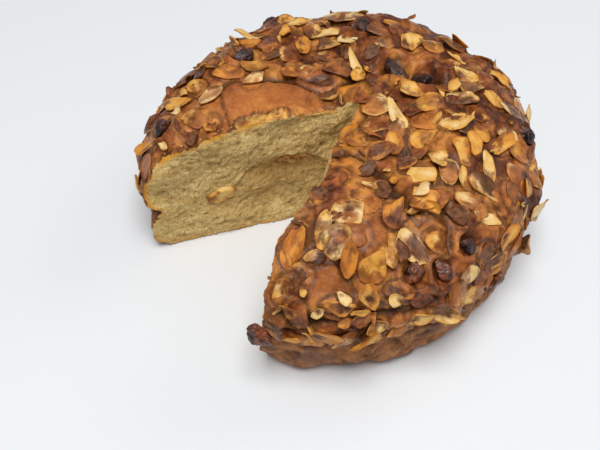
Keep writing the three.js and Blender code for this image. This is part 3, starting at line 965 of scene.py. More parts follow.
@dataclass(frozen=True)
class BreadFinish(Finish):
    """Egg-washed crust from honey to mahogany, a matte base band, and pale crumb on the cut faces."""

    specular: float = 0.2
    bump: tuple[float, float] = (0.7, 0.4)
    tones: CrustTones = CrustTones()
    scab: tuple = linear(88, 42, 22)
    # Painted shade: the near black that creases, hollow places and the edges round flakes are darkened towards.
    crease_shade: tuple = linear(44, 17, 4)
    band_light: tuple = linear(182, 124, 78)
    band_dark: tuple = linear(112, 70, 46)
    band_grey: tuple = linear(126, 92, 76)
    crumb_light: tuple = linear(254, 228, 160)
    crumb_dark: tuple = linear(204, 158, 84)
    # Painted shade under the ledge's overhang, together with the yellower crumb there.
    shaded_crumb_under_ledge: tuple = linear(206, 158, 86)
    # Painted shade in the crumb's pores and pits and in the slot under the ledge.
    pore: tuple = linear(146, 102, 48)
    peeled: tuple = linear(240, 184, 92)
    burst: tuple = linear(232, 146, 48)
    under_crust: tuple = linear(230, 162, 60)

    def plates(self, sheet: Sheet, where: object) -> tuple[bpy.types.NodeSocket, bpy.types.NodeSocket]:
        """Breaks the skin up into flake-sized plates, as where an almond lies under the glaze.

        Args:
            sheet: The material's nodes.
            where: The coordinates.

        Returns:
            How much of a dark plate shows, and a height that steps at the plates' edges.
        """
        drift = sheet.add("ShaderNodeTexNoise", {"Vector": where, "Scale": 130.0, "Detail": 3.0})
        inputs = {0: drift.outputs["Color"], 1: (0.007, 0.007, 0.007), 2: where}
        moved = sheet.add("ShaderNodeVectorMath", inputs, operation="MULTIPLY_ADD").outputs[0]
        _, own = sheet.cells(moved, 92.0)
        fade = sheet.ease(sheet.noise(where, 70.0, 3.0), 0.4, 0.56)
        return sheet.times(sheet.ease(own[0], 0.6, 0.66), fade), own[1]

    def crust(self, sheet: Sheet, where: object, mottle: Sequence, scab: object) -> bpy.types.NodeSocket:
        """Colours the crust: darker on what stands high, honey in the folds, with painted shade in its creases
        and hollow places.

        Args:
            sheet: The material's nodes.
            where: The coordinates.
            mottle: The mottle's patches, grain and height.
            scab: How much of a dark plate shows.

        Returns:
            The colour.
        """
        bare = sheet.attribute("bare")
        patches = sheet.times(sheet.centred(mottle[0]), sheet.line(bare, -1.2, 2.2))
        fleck = sheet.centred(mottle[1])
        grain = sheet.times(fleck, sheet.line(bare, -0.25, 0.65))
        baked = sheet.line(sheet.attribute("rise"), 0.045, sheet.line(bare, 0.07, 0.2))
        baked = sheet.line(sheet.attribute("halo"), -0.1, baked)
        # The crust is coloured darker towards the back of the loaf.
        baked = sheet.line(sheet.attribute("darker_towards_back"), 0.26, baked)
        baked = sheet.line(sheet.centred(sheet.noise(where, 1500.0, 2.0)), 0.5, baked)
        tone = sheet.sum("ADD", sheet.sum("ADD", patches, grain), baked, clamp=True)
        skin = self.tones.ramp(sheet, tone)
        skin = sheet.mix(sheet.times(scab, sheet.line(bare, -0.7, 0.7)), skin, self.scab)
        raw = sheet.ease(sheet.noise(where, 170.0, 4.0, 0.65), 0.36, 0.62)
        burst = sheet.times(sheet.attribute("burst"), sheet.line(raw, -0.6, 1.0))
        skin = sheet.mix(burst, skin, self.burst)
        torn = sheet.ease(sheet.line(fleck, 1.2, sheet.attribute("peel")), 0.45, 0.6)
        skin = sheet.mix(torn, skin, sheet.mix(raw, self.peeled, self.tones.copper))
        # Painted shade: the crust is darkened in its creases, hollow places and round the flakes.
        return sheet.mix(sheet.times(sheet.attribute("crease_shade"), 0.95, clamp=True), skin, self.crease_shade)

    def base_band(self, sheet: Sheet, where: object) -> bpy.types.NodeSocket:
        """Colours the matte base band, with painted shade in its wrinkles.

        Args:
            sheet: The material's nodes.
            where: The coordinates.

        Returns:
            The colour.
        """
        tone = sheet.noise(where, 150.0, 6.0, 0.75)
        plain = sheet.ramp(tone, (0.36, self.band_dark), (0.58, self.band_light))
        dusty = sheet.times(sheet.ease(sheet.noise(where, 42.0, 4.0, 0.65), 0.48, 0.6), 0.75)
        plain = sheet.mix(dusty, plain, self.band_grey)
        return sheet.mix(sheet.times(sheet.attribute("crease_shade"), 0.7, clamp=True), plain, self.crease_shade)

    def crumb(self, sheet: Sheet, where: object, under: object) -> tuple[bpy.types.NodeSocket, ...]:
        """Colours the torn crumb, with painted shade in its pits and pores and under the ledge.

        Args:
            sheet: The material's nodes.
            where: The coordinates.
            under: How far a place is in the hollow under the ledge, where the crumb is painted darker as shade.

        Returns:
            The colour, and a height of grit and pores.
        """
        fibre_at = sheet.stretched(where, 1, 1, 1.5)
        fibre = sheet.noise(fibre_at, 420.0, 5.0, 0.7)
        nubs = sheet.noise(fibre_at, 1300.0, 3.0, 0.6)
        grit = sheet.line(nubs, 0.65, sheet.times(fibre, 0.35))
        # Lighter on the raised nubs and darker between them, where the bump is low: partly the crumb's uneven
        # tone, partly painted shade.
        colour = sheet.ramp(grit, (0.4, self.crumb_dark), (0.55, self.crumb_light))
        layered = sheet.ease(sheet.noise(sheet.stretched(where, 1, 1, 4.0), 75.0, 4.0, 0.6), 0.36, 0.6)
        colour = sheet.mix(sheet.line(layered, -0.45, 0.45), colour, self.crumb_dark)
        # Small dark dots: painted shade in the crumb's fine pores.
        distance, own = sheet.cells(where, 620.0)
        dot = sheet.times(sheet.ease(distance, 0.42, 0.2), sheet.ease(own[0], 0.62, 0.7))
        colour = sheet.mix(sheet.times(dot, 0.35), colour, self.pore)
        # Painted shade under the ledge, mixed with the yellower crumb there.
        colour = sheet.mix(under, colour, self.shaded_crumb_under_ledge)
        # Painted shade in the pits, the pores and the slot under the ledge.
        colour = sheet.mix(sheet.times(sheet.attribute("pit_shade"), 0.8), colour, self.pore)
        return colour, sheet.line(dot, -0.2, grit)

    def make(self) -> bpy.types.Material:
        """Builds the material.

        Returns:
            The material.
        """
        material, sheet, where, shader = self.start()
        mottle = sheet.mottle(where, GLAZE_PATCH, GLAZE_GRAIN)
        cut, band = sheet.attribute("cut"), sheet.attribute("band")
        under = sheet.times(sheet.attribute("under"), 0.6)
        scab, step = self.plates(sheet, where)
        skin = sheet.mix(band, self.crust(sheet, where, mottle, scab), self.base_band(sheet, where))
        crumb, grit = self.crumb(sheet, where, under)
        edge = sheet.line(sheet.centred(mottle[1]), 2.6, sheet.attribute("depth"))
        patchy = sheet.ease(sheet.noise(where, 60.0, 2.0), 0.38, 0.62)
        crumb = sheet.mix(sheet.times(sheet.ease(edge, 3.6, 0.9), patchy), crumb, self.under_crust)
        colour = sheet.mix(sheet.times(cut, sheet.ease(edge, 0.2, 0.8)), skin, crumb)

        matte = sheet.sum("MAXIMUM", band, cut)
        glossy = sheet.left(matte, clamp=True)
        rough = sheet.line(matte, 0.42, sheet.line(mottle[0], 0.5, 0.14), clamp=True)
        sheet.put(shader.inputs["Coat Weight"], sheet.times(glossy, 0.1))
        crumbly = sheet.times(grit, sheet.times(cut, sheet.line(under, -5.0, 8.0)))
        height = sheet.sum("ADD", sheet.sum("ADD", mottle[2], crumbly), sheet.times(step, glossy))
        self.wire(sheet, shader, colour, rough, height)
        return material


@dataclass(frozen=True)
class FlakeFinish(Finish):
    """Baked flaked almond: cream to toffee, part scorched, part covered by the crust's brown glaze."""

    subsurface: float = 0.12
    subsurface_scale: float = 0.0012
    specular: float = 0.26
    bump: tuple[float, float] = (0.6, 0.16)
    tones: CrustTones = CrustTones()
    cream: tuple = linear(242, 214, 164)
    straw: tuple = linear(236, 192, 114)
    gold: tuple = linear(226, 162, 66)
    amber: tuple = linear(210, 132, 48)
    toffee: tuple = linear(162, 94, 42)
    scorch: tuple = linear(64, 30, 16)
    scorch_pale: tuple = linear(116, 68, 48)
    scorch_edge: tuple = linear(166, 106, 58)
    skin: tuple = linear(154, 92, 44)

    def length(self, sheet: Sheet, x: object, y: object) -> bpy.types.NodeSocket:
        """Gives the distance of a place from the middle."""
        return sheet.sum("SQRT", sheet.line(y, y, sheet.times(x, x)))

    def from_spot(self, sheet: Sheet, x: object, y: object, seed: object) -> bpy.types.NodeSocket:
        """Gives the distance from a spot that lies off the flake's middle, another one on each flake.

        Args:
            sheet: The material's nodes.
            x: The place along the flake.
            y: The place across it.
            seed: The flake's own number.

        Returns:
            The distance.
        """
        angle = sheet.times(seed, 34.0)
        off = sheet.line(sheet.lot(seed, 11.7), 0.6, 0.1)
        off_x = sheet.line(sheet.sum("COSINE", angle), off, x)
        off_y = sheet.line(sheet.sum("SINE", angle), off, y)
        return self.length(sheet, off_x, off_y)

    def make(self) -> bpy.types.Material:
        """Builds the material.

        Returns:
            The material.
        """
        material, sheet, where, shader = self.start()
        bake = sheet.add("ShaderNodeAttribute", attribute_name="bake").outputs
        tone, burn, seed = sheet.add("ShaderNodeSeparateColor", {0: bake["Color"]}).outputs
        glazed = bake["Alpha"]
        disc = sheet.add("ShaderNodeUVMap", uv_map="flake").outputs["UV"]
        spot = sheet.add("ShaderNodeSeparateXYZ", {0: disc}).outputs
        x, y = sheet.line(spot[0], 2.0, -1.0), sheet.line(spot[1], 2.0, -1.0)
        radius = self.length(sheet, x, y)
        own = sheet.add("ShaderNodeCombineXYZ", {0: x, 1: y, 2: sheet.times(seed, 50.0)}).outputs[0]
        cloud = sheet.centred(sheet.noise(own, 1.3, 4.0, 0.6))
        streak = sheet.centred(sheet.noise(sheet.stretched(own, 1.6, 9.0, 1.0), 1.6, 5.0, 0.6))

        veined = sheet.line(sheet.lot(seed, 5.3), 0.6, 0.1)
        shade = sheet.line(cloud, 1.1, sheet.line(streak, veined, tone))
        shade = sheet.line(sheet.ease(radius, 0.55, 1.0), 0.16, shade, clamp=True)
        pale = ((0.0, self.cream), (0.26, self.straw), (0.5, self.gold))
        base = sheet.ramp(shade, *pale, (0.76, self.amber), (1.0, self.toffee))
        rim = sheet.times(sheet.ease(radius, 0.86, 1.0), sheet.ease(sheet.lot(seed, 3.7), 0.3, 0.8))
        base = sheet.mix(sheet.times(rim, 0.65), base, self.skin)

        cooler = sheet.times(self.from_spot(sheet, x, y, seed), -1.0)
        heat = sheet.line(burn, 1.5, sheet.line(cloud, 2.0, cooler))
        scorched = sheet.times(sheet.ease(heat, -0.42, 0.26), sheet.ease(burn, 0.0, 0.12))
        char = sheet.mix(sheet.ease(sheet.noise(own, 2.6, 3.0), 0.35, 0.65), self.scorch_pale, self.scorch)
        scorch = sheet.mix(sheet.ease(heat, -0.1, 0.4), self.scorch_edge, char)
        colour = sheet.mix(sheet.times(scorched, 0.94), base, scorch)

        patches, grain, _ = sheet.mottle(where, GLAZE_PATCH, GLAZE_GRAIN)
        tone = sheet.line(sheet.centred(grain), 0.65, sheet.times(sheet.centred(patches), 2.0))
        tone = sheet.sum("ADD", sheet.line(cloud, 0.9, 0.54), tone, clamp=True)
        cover = self.cover(sheet, where, (x, radius, seed), glazed, cloud)
        colour = sheet.mix(sheet.times(cover, 0.9), colour, self.tones.ramp(sheet, tone))
        rough = sheet.line(cover, -0.16, sheet.line(cloud, 0.3, 0.46), clamp=True)
        height = sheet.line(streak, 2.0, sheet.mottle(where, 300.0, 1100.0)[2])
        self.wire(sheet, shader, colour, rough, height)
        return material

    def cover(
        self, sheet: Sheet, where: object, disc: tuple, glazed: object, cloud: object
    ) -> bpy.types.NodeSocket:
        """Says how far the crust's glaze covers a flake: from one end, round the rim and in runs.

        Args:
            sheet: The material's nodes.
            where: The coordinates.
            disc: The place along the flake, its distance from the middle, and the flake's own number.
            glazed: How much of the flake the glaze covers.
            cloud: The flake's uneven tone.

        Returns:
            The cover, 0 to 1.
        """
        x, radius, seed = disc
        cover = sheet.line(glazed, 2.4, sheet.line(x, -0.8, -1.4))
        cover = sheet.ease(sheet.line(cloud, 2.2, cover), -0.3, 0.45)
        dry_rim = sheet.ease(sheet.lot(seed, 7.9), 0.35, 0.55)
        outer = sheet.ease(radius, 0.8, 0.97)
        sealed = sheet.times(sheet.left(dry_rim), sheet.ease(glazed, 0.35, 0.5))
        cover = sheet.sum("MAXIMUM", cover, sheet.times(outer, sealed))
        run = sheet.ease(sheet.noise(where, 85.0, 4.0, 0.6), 0.49, 0.58)
        run = sheet.times(run, sheet.ease(sheet.lot(seed, 13.3), 0.2, 0.4))
        cover = sheet.sum("MAXIMUM", cover, sheet.times(run, 0.85))
        return sheet.times(cover, sheet.left(sheet.times(sheet.times(outer, dry_rim), 0.75)))


@dataclass(frozen=True)
class MottledFinish(Finish):
    """A finish of patches and grain alone, with a bloom on the grain where it has one.

    The roughness is how much of the grain it takes up, and its lowest value.
    """

    patch: float = 160.0
    grain: float = 900.0
    stops: tuple[tuple[float, tuple], ...] = ()
    bloom: tuple = ()
    rough: tuple[float, float] = (0.4, 0.2)

    def make(self) -> bpy.types.Material:
        """Builds the material.

        Returns:
            The material.
        """
        material, sheet, where, shader = self.start()
        patches, grain, height = sheet.mottle(where, self.patch, self.grain)
        colour = sheet.ramp(patches, *self.stops)
        if self.bloom:
            colour = sheet.mix(sheet.ease(grain, 0.58, 0.75), colour, self.bloom)
        self.wire(sheet, shader, colour, sheet.line(grain, *self.rough, clamp=True), height)
        return material


# Dark wrinkled raisin skin, and the same brown where the sugar has caught.
RAISIN_SKIN = MottledFinish(
    "raisin_skin",
    coat_roughness=0.2,
    stops=((0.38, linear(30, 18, 18)), (0.66, linear(98, 52, 34))),
    bloom=linear(70, 58, 60),
)
TOASTED_SKIN = MottledFinish(
    "toasted_raisin_skin",
    stops=((0.38, linear(48, 22, 14)), (0.66, linear(140, 72, 36))),
    bloom=linear(112, 66, 44),
)
# Moist baked apple, part translucent, with a brown stain.
BAKED_APPLE = MottledFinish(
    "baked_apple",
    subsurface=0.15,
    subsurface_scale=0.001,
    specular=0.3,
    bump=(0.4, 0.3),
    patch=130.0,
    grain=700.0,
    stops=((0.42, linear(234, 192, 114)), (0.54, linear(206, 148, 66)), (0.64, linear(136, 80, 26))),
    rough=(0.3, 0.36),
)
# Pale crumbs with a few browned ones.
LOOSE_CRUMB = MottledFinish(
    "loose_crumb",
    subsurface=0.1,
    bump=(0.5, 0.2),
    patch=90.0,
    grain=1200.0,
    stops=((0.46, linear(208, 164, 104)), (0.6, linear(150, 90, 48))),
    rough=(0.2, 0.7),
)


# ---- Raisins, apple and almonds: where they are, as in the solids ----

# Raisins: bearing, reach, length, width, height, turn from the way outwards, and how far the middle
# stands out.
RAISINS = (
    (99, 42, 17, 9, 8, 70, 2), (82, 50, 13, 10, 9, 80, 2.8), (356, 90, 9, 8, 6, 60, -1.4),
    (345, 93, 10, 8, 7, 20, 0.4), (337, 90, 10, 7, 6, 110, 0.6), (6, 124, 13, 9, 7, 30, 3.4),
    (299, 117, 13, 10, 9, 100, 4), (47, 91, 10, 8, 7, 10, 0.8), (187, 67, 11, 8, 7, 60, 0.8),
    (230, 86, 10, 8, 7, 40, 1), (128, 66, 12, 9, 8, 20, 0.6), (110, 101, 11, 9, 7, 90, 0.8),
    (160, 98, 12, 8, 7, 50, 1), (77, 109, 11, 8, 7, 120, 1.2),
)
# Pieces of apple in the cut faces: side, place along, height, half-sizes along, up and in, and turn.
APPLE_PIECES = (
    (Side.WEST, 33, 44, 9, 5, 6, -10), (Side.WEST, 70, 30, 8, 5, 6, 25),
    (Side.EAST, 28, 38, 9, 6, 6, 20), (Side.EAST, 55, 25, 8, 7, 6, -30), (Side.EAST, 74, 46, 9, 5, 6, 10),
)
# The flakes that stand out: bearing, reach, length, width, turn, lift of the free end, and then how baked
# it is, how scorched, and how far its sides curl up.
CHOSEN_FLAKES = (
    (320, 60, 19, 16, 90, 0.6, 0.16, 0.3, 0.2), (315, 73, 18, 12, 155, 0.8, 0.16, 0.4, 0.2),
    (311, 68, 17, 8, 178, 0.5, 0.36, 0.05, 0.2), (320, 80, 18, 9, 170, 2.4, 0.76, 0.1, 2.4),
    (326, 83, 16, 12, 162, 3, 0.5, 0.0, 0.6), (324, 95, 14, 9, 177, 3, 0.52, 0.3, 0.4),
    (331, 81, 12, 10, 80, 1.8, 0.44, 0.1, 0.6), (339, 80, 18, 11, 10, 1.6, 0.2, 0.55, 0.5),
    (335, 78, 14, 9, 10, 1, 0.5, 0.9, 0.3), (306, 87, 13, 11, 120, 1, 0.45, 0.75, 0.4),
    (302, 94, 12, 7, 170, 1.6, 0.4, 0.3, 0.5), (303, 77, 18, 8, 174, 2.6, 0.72, 0.05, 2.2),
    (306, 52, 11, 8, 150, 0.5, 0.5, 1.0, 0.2), (356, 55, 15, 12, 30, 2.2, 0.3, 0.0, 0.6),
    (348, 65, 16, 13, 28, 2.6, 0.5, 0.0, 2.4), (22, 60, 15, 9, 136, 2.2, 0.5, 0.0, 0.6),
    (28, 64, 13, 8, 132, 2.4, 0.52, 0.05, 0.5), (22, 73, 17, 7, 135, 2.4, 0.2, 0.0, 0.8),
    (14, 77, 18, 10, 175, 1.6, 0.25, 0.75, 0.5), (36, 77, 18, 10, 55, 3, 0.55, 0.1, 1.8),
    (57, 74, 14, 12, 158, 1, 0.48, 0.05, 0.3), (103, 60, 17, 12, 36, 1.8, 0.36, 0.3, 0.4),
    (74, 66, 14, 13, 101, 1, 0.3, 0.3, 0.3), (73, 36, 13, 11, 170, 2, 0.36, 0.05, 0.6),
    (40, 25, 18, 9, 126, 1.8, 0.1, 0.05, 0.4), (54, 42, 14, 13, 176, 0.8, 0.55, 0.35, 0.2),
    (41, 53, 17, 14, 26, 0.6, 0.3, 0.15, 0.2), (128, 34, 17, 6, 29, 2.4, 0.2, 0.0, 0.6),
    (164, 65, 17, 7, 157, 2.2, 0.5, 0.0, 0.6), (160, 52, 17, 10, 171, 1.2, 0.66, 0.15, 0.5),
    (175, 80, 17, 10, 33, 4, 0.34, 0.0, 0.6), (202, 63, 14, 10, 17, 0.8, 0.74, 0.1, 0.2),
    (191, 54, 15, 9, 18, 1.6, 0.42, 0.05, 0.4), (219, 63, 15, 9, 54, 1.6, 0.08, 0.1, 0.7),
    (217, 84, 16, 14, 14, 2, 0.5, 0.0, 0.5), (237, 71, 14, 10, 80, 1, 0.2, 0.9, 0.2),
    (235, 61, 13, 8, 78, 0.8, 0.5, 0.3, 0.3), (233, 95, 13, 12, 30, 3, 0.55, 0.25, 0.6),
    (352, 111, 17, 11, 85, 2.6, 0.44, 0.0, 0.7), (353, 101, 13, 9, 69, 1.2, 0.12, 0.0, 0.4),
    (348, 120, 15, 8, 59, 2, 0.4, 0.0, 0.6), (343, 109, 14, 11, 62, 1.6, 0.3, 0.75, 0.3),
    (337, 109, 11, 9, 91, 1.4, 0.3, 0.25, 0.3), (10, 100, 15, 9, 112, 1.8, 0.6, 0.3, 0.5),
    (4, 108, 14, 10, 110, 1.6, 0.4, 0.6, 0.4), (315, 113, 18, 9, 85, 1.6, 0.62, 0.3, 0.4),
    (306, 117, 14, 7, 136, 2.4, 0.58, 0.0, 0.8), (317, 98, 15, 8, 86, 2, 0.6, 0.45, 0.4),
    (140, 29, 16, 13, 103, 0.6, 0.5, 0.95, 0.2), (349, 31, 17, 9, 87, 1.4, 0.7, 0.65, 0.5),
    (356, 46, 12, 8, 90, 0.8, 0.6, 0.85, 0.2), (338, 51, 14, 9, 4, 0.6, 0.6, 0.9, 0.1),
    (358, 77, 14, 12, 39, 0.8, 0.5, 0.9, 0.2), (332, 95, 12, 9, 77, 0.8, 0.75, 0.6, 0.2),
    (62, 103, 14, 8, 98, 4, 0.15, 0.0, 0.6),
)
# Stretches of crust that no flake stuck to: bearing, reach and radius.
BARE = ((222, 48, 15), (206, 34, 13), (191, 22, 10), (329, 69, 9), (313, 88, 7), (240, 52, 10))


@dataclass(frozen=True)
class Strewing:
    """A seeded draw of flakes over what the ones before left free."""

    seed: int
    tries: int
    spacing: float
    count: int
    longest: float
    shortest: float
    reach: float


LARGE_FLAKES = Strewing(5, 2600, 15.5, 46, 17, 12.5, 122)
STUCK_FLAKES = Strewing(8, 9000, 8.6, 138, 17, 11, 121)
CHIPS = Strewing(9, 9000, 5.4, 74, 9.0, 3.5, 123)
# Small curls and slivers that show in the photograph, listed as the flakes that stand out.
CURLS = (
    (350, 62, 10, 6, 60, 2.6, 0.12, 0.0, 2.6), (345, 66, 10, 5, 110, 2.2, 0.3, 0.0, 2.8),
    (349, 69, 9, 4, 15, 1.6, 0.42, 0.0, 2.2), (318, 94, 8, 4, 60, 1.2, 0.1, 0.0, 1.0),
    (331, 98, 8, 6, 20, 1.0, 0.2, 0.2, 0.8), (322, 101, 9, 4, 100, 1.4, 0.45, 0.0, 1.2),
    (305, 101, 10, 5, 80, 1.6, 0.4, 0.2, 1.4), (312, 100, 8, 5, 130, 1.2, 0.15, 0.3, 0.8),
    (64, 56, 10, 5, 40, 1.8, 0.4, 0.0, 1.6), (12, 66, 10, 5, 140, 1.6, 0.25, 0.0, 1.6),
    (84, 70, 10, 5, 120, 1.8, 0.3, 0.0, 1.6), (200, 78, 10, 6, 60, 1.8, 0.3, 0.6, 1.4),
)


class Flake(NamedTuple):
    """A flake on the crust.

    After its place come its length, width and turn, how far its end lifts, its tone and scorch, how deep
    its cup is, and how far the crust's glaze covers it.
    """

    bearing: float
    reach: float
    length: float
    width: float
    turn: float
    lift: float
    tone: float
    burn: float
    cup: float
    glazed: float


# ---- The pieces ----


@dataclass
class Loaf:
    """The bread itself: crust, base band and the two cut faces, in one closed mesh."""

    flakes: Sequence[Flake]
    finish: BreadFinish = BreadFinish("crust_and_crumb")
    segments: int = 220
    rings: int = 170
    voxel: float = 1.28
    face_skin: float = 0.8
    edge_soft: float = 9.0
    raisin_clearance: float = 2.2
    pores_a_face: int = 420
    pore_seed: int = 40
    rim_shade_seed: int = 61
    peel_from: float = 35.0
    peel_to: float = 60.0
    peel_width: float = 5.5
    peel_depth: float = 0.8
    hollow_passes: int = 12
    slot_depth: float = 2.4
    slot_drop: float = 1.6
    slot_half: float = 20.0
    torn_bits: Grain = Grain(2.2, 2, 31.0)
    torn_layers: Grain = Grain(7.0, 2, 12.0)
    burst_edge: Grain = Grain(5.0, 2, 71.0)
    slot_edge: Grain = Grain(6.0, 2, 83.0)
    peel_edge: Grain = Grain(9.0, 3, 21.0)

    def build(self) -> bpy.types.Object:
        """Builds the loaf, dresses it and lets it stand for the bread's solid.

        Returns:
            The loaf.
        """
        piece = self.turned_body()
        self.cut_notch(piece)
        apply_modifier(piece, "REMESH", mode="VOXEL", voxel_size=self.voxel * MM)
        self.refine_faces(piece)
        self.shape(piece)
        self.thin_underside(piece)
        return finish_piece(piece, self.finish.make(), "bread_loaf", "crust_crumb_and_almonds", "bread")

    def turned_body(self) -> bpy.types.Object:
        """Adds a ball and moves its rings onto the loaf's outline.

        Returns:
            The body.
        """
        bpy.ops.object.select_all(action="DESELECT")
        bpy.ops.mesh.primitive_uv_sphere_add(segments=self.segments, ring_count=self.rings, radius=1.0)
        piece = bpy.context.object
        x, y, z = raw_points(piece.data).T
        reach = FORM.reaches[-1] * np.arctan2(np.hypot(x, y), z) / math.pi
        write_points(piece.data, FORM.plain(np.arctan2(y, x), reach)[0])
        return piece

    def cut_notch(self, piece: bpy.types.Object) -> None:
        """Cuts a three-sided prism, pointed at the notch's inner edge, out of the body.

        Args:
            piece: The body.
        """
        corner = NOTCH.outreach / 1.5
        half_width = NOTCH.outreach * math.tan(math.radians(NOTCH.half_angle))
        middle = np.array([0.0, NOTCH.apex - corner, (NOTCH.floor + NOTCH.ceiling) / 2]) + LOAF_AXIS
        bpy.ops.object.select_all(action="DESELECT")
        bpy.ops.mesh.primitive_cylinder_add(
            vertices=3,
            radius=corner * MM,
            depth=(NOTCH.ceiling - NOTCH.floor) * MM,
            location=middle * MM,
            scale=(half_width / (corner * math.sqrt(0.75)), 1.0, 1.0),
        )
        slice_piece = bpy.context.object
        apply_modifier(piece, "BOOLEAN", operation="DIFFERENCE", object=slice_piece, solver="EXACT")
        bpy.data.objects.remove(slice_piece)

    def refine_faces(self, piece: bpy.types.Object) -> None:
        """Halves the mesh's spacing on the cut faces, where the crumb needs it.

        Args:
            piece: The body.
        """
        points = read_points(piece.data)
        on_face = np.zeros(len(points), bool)
        for side in Side:
            along, proud = NOTCH.read(side, points)
            mine = np.sign(points[:, 0]) == side.value
            on_face |= mine & (np.abs(proud) < self.face_skin) & (along > -1.0)
        edit_faces(piece, faces_within(piece, on_face))
        bpy.ops.mesh.subdivide(number_cuts=1)
        bpy.ops.mesh.select_all(action="SELECT")
        bpy.ops.mesh.quads_convert_to_tris()
        bpy.ops.object.mode_set(mode="OBJECT")

    def thin_underside(self, piece: bpy.types.Object) -> None:
        """Dissolves the dense mesh of the flat underside.

        Args:
            piece: The loaf.
        """
        edit_faces(piece, faces_within(piece, read_points(piece.data)[:, 2] < 0.01))
        bpy.ops.mesh.dissolve_limited(angle_limit=0.01)
        bpy.ops.mesh.quads_convert_to_tris()
        bpy.ops.object.mode_set(mode="OBJECT")

    def shape(self, piece: bpy.types.Object) -> None:
        """Moves the points out to the lumpy crust and the torn crumb, and stores what the finish reads.

        Args:
            piece: The body.
        """
        mesh = piece.data
        points = read_points(mesh)
        base, out = FORM.plain(*FORM.nearest(points))
        depth = np.maximum(0.0, -((points - base) * out).sum(axis=1))
        rise = FORM.relief(base)
        fine, crease_shading = FORM.fine_relief(base)
        drawn_up, halo, rim = self.beds(base)
        collar, clear = self.round_raisins(base)
        peel = self.peel(points)
        fine = fine + collar + drawn_up
        lift = rise + fine * (1 - clear) - self.raisin_clearance * clear
        lift = lift - self.peel_depth * smooth(peel, 0.35, 0.65)
        lift *= smooth(base[:, 2], 0.3, 5.0)
        moved = points + out * (lift * bell(depth, self.edge_soft))[:, None]
        # How far a point lies below its neighbours, for painted shade in the crust's hollow places.
        hollow = smooth(self.hollows(mesh, lift + 0.5 * rise), 0.12, 0.9)
        cut, pit_shade = self.tear(points, moved)
        moved[:, 2] = np.maximum(moved[:, 2], 0.0)
        write_points(mesh, moved)
        # The edge of the peeled strip is painted as shade as well.
        seam_shade = np.maximum(crease_shading, bell(peel - 0.34, 0.12))
        ragged = 1.0 + 1.2 * self.burst_edge.at(base)
        read_by_finish = {
            "cut": cut,
            "pit_shade": np.clip(pit_shade, 0.0, 1.0),
            "depth": depth,
            "rise": rise + fine,
            "crease_shade": np.maximum(seam_shade, np.maximum(0.85 * hollow, rim)),
            # Darker towards the back, along +Y.
            "darker_towards_back": smooth(base[:, 1], -5.0, 55.0),
            "burst": np.clip(FORM.lines_depth(base, BURSTS) * ragged, 0.0, 1.0),
            "halo": halo,
            "peel": peel,
            "bare": FORM.bare(base),
            "under": self.under_ledge(points),
            "band": smooth(FORM.over_lip(base), 1.6, -0.6),
        }
        for name, values in read_by_finish.items():
            write_attribute(mesh, name, values)

    def tear(self, points: np.ndarray, moved: np.ndarray) -> tuple[np.ndarray, np.ndarray]:
        """Moves the points of the cut faces out to the torn crumb.

        Args:
            points: The points of the plain body.
            moved: The points with the crust's relief, changed in place.

        Returns:
            How far each point is on a cut face, and how much painted shade it gets in pits, pores and the slot,
            from 0.
        """
        cut, pit_shade = np.zeros(len(points)), np.zeros(len(points))
        for side in Side:
            along, proud = NOTCH.read(side, points)
            mine = (np.sign(points[:, 0] + 1e-9) == side.value) & (along > -2.0)
            near = np.where(mine, bell(np.maximum(-proud - 0.4, 0.0), 2.2), 0.0)
            chosen = near > 0.01
            along, proud, near, spots = along[chosen], proud[chosen], near[chosen], points[chosen]
            height = spots[:, 2]
            slot = self.slot(side, along, height)
            pore = self.pores(side, along, height)
            torn = self.torn_bits.at(spots * (0.75, 0.75, 1.0))
            torn += 0.9 * self.torn_layers.at(spots * (0.6, 0.6, 1.3))
            torn *= smooth(along, 0.0, 5.0)
            inward = 0.5 * pore + self.slot_depth * slot
            outward = (NOTCH.crumb(side, along, height) + 0.62 * torn - inward) * near
            moved[chosen] += NOTCH.axes(side)[2] * outward[:, None]
            cut[chosen] = np.maximum(cut[chosen], smooth(-proud, 1.0, 0.45))
            # Painted shade: the low places of the torn crumb, its pores and the slot under the ledge are
            # darkened.
            low = 0.4 * smooth(-torn, 0.2, 0.9) + 0.8 * slot
            pit_shade[chosen] = np.maximum(pit_shade[chosen], 0.7 * pore * near + low)
        return cut, pit_shade

    def under_ledge(self, points: np.ndarray) -> np.ndarray:
        """Says how far each point is in the hollow under the west face's ledge, where the crumb is painted
        darker as shade.

        Args:
            points: The points of the plain body.

        Returns:
            The share of each, 0 to 1.
        """
        along = NOTCH.read(Side.WEST, points)[0]
        drop = NOTCH.drop(along, points[:, 2])
        under = smooth(drop, 0.0, 4.0) * bell(np.maximum(drop - 6.0, 0.0), 16.0)
        return under * bell(along - NOTCH.ledge_at, 26.0) * (points[:, 0] < 0)

    def pores(self, side: Side, along: np.ndarray, height: np.ndarray) -> np.ndarray:
        """Gives the open pores of a cut face.

        Args:
            side: Which face.
            along: How far along it each point lies.
            height: How high each point lies.

        Returns:
            How deep in a pore each point is, 0 to 1.
        """
        draw = draws(self.pore_seed + side.value)
        deepest = np.zeros(len(along))
        for _ in range(self.pores_a_face):
            spot_along, spot_up = 100 * draw(), 3 + 68 * draw()
            size = 0.4 + 1.0 * draw() ** 4
            stretch, lean = 1.1 + 1.2 * draw(), 0.5 * (draw() - 0.5)
            u, v = along - spot_along, height - spot_up
            near = (np.abs(u) < 8) & (np.abs(v) < 8)
            u, v = u[near], v[near]
            across = np.hypot((u + lean * v) / (size * stretch), (v - lean * u) / size)
            deepest[near] = np.maximum(deepest[near], bell(across, 0.9))
        return deepest

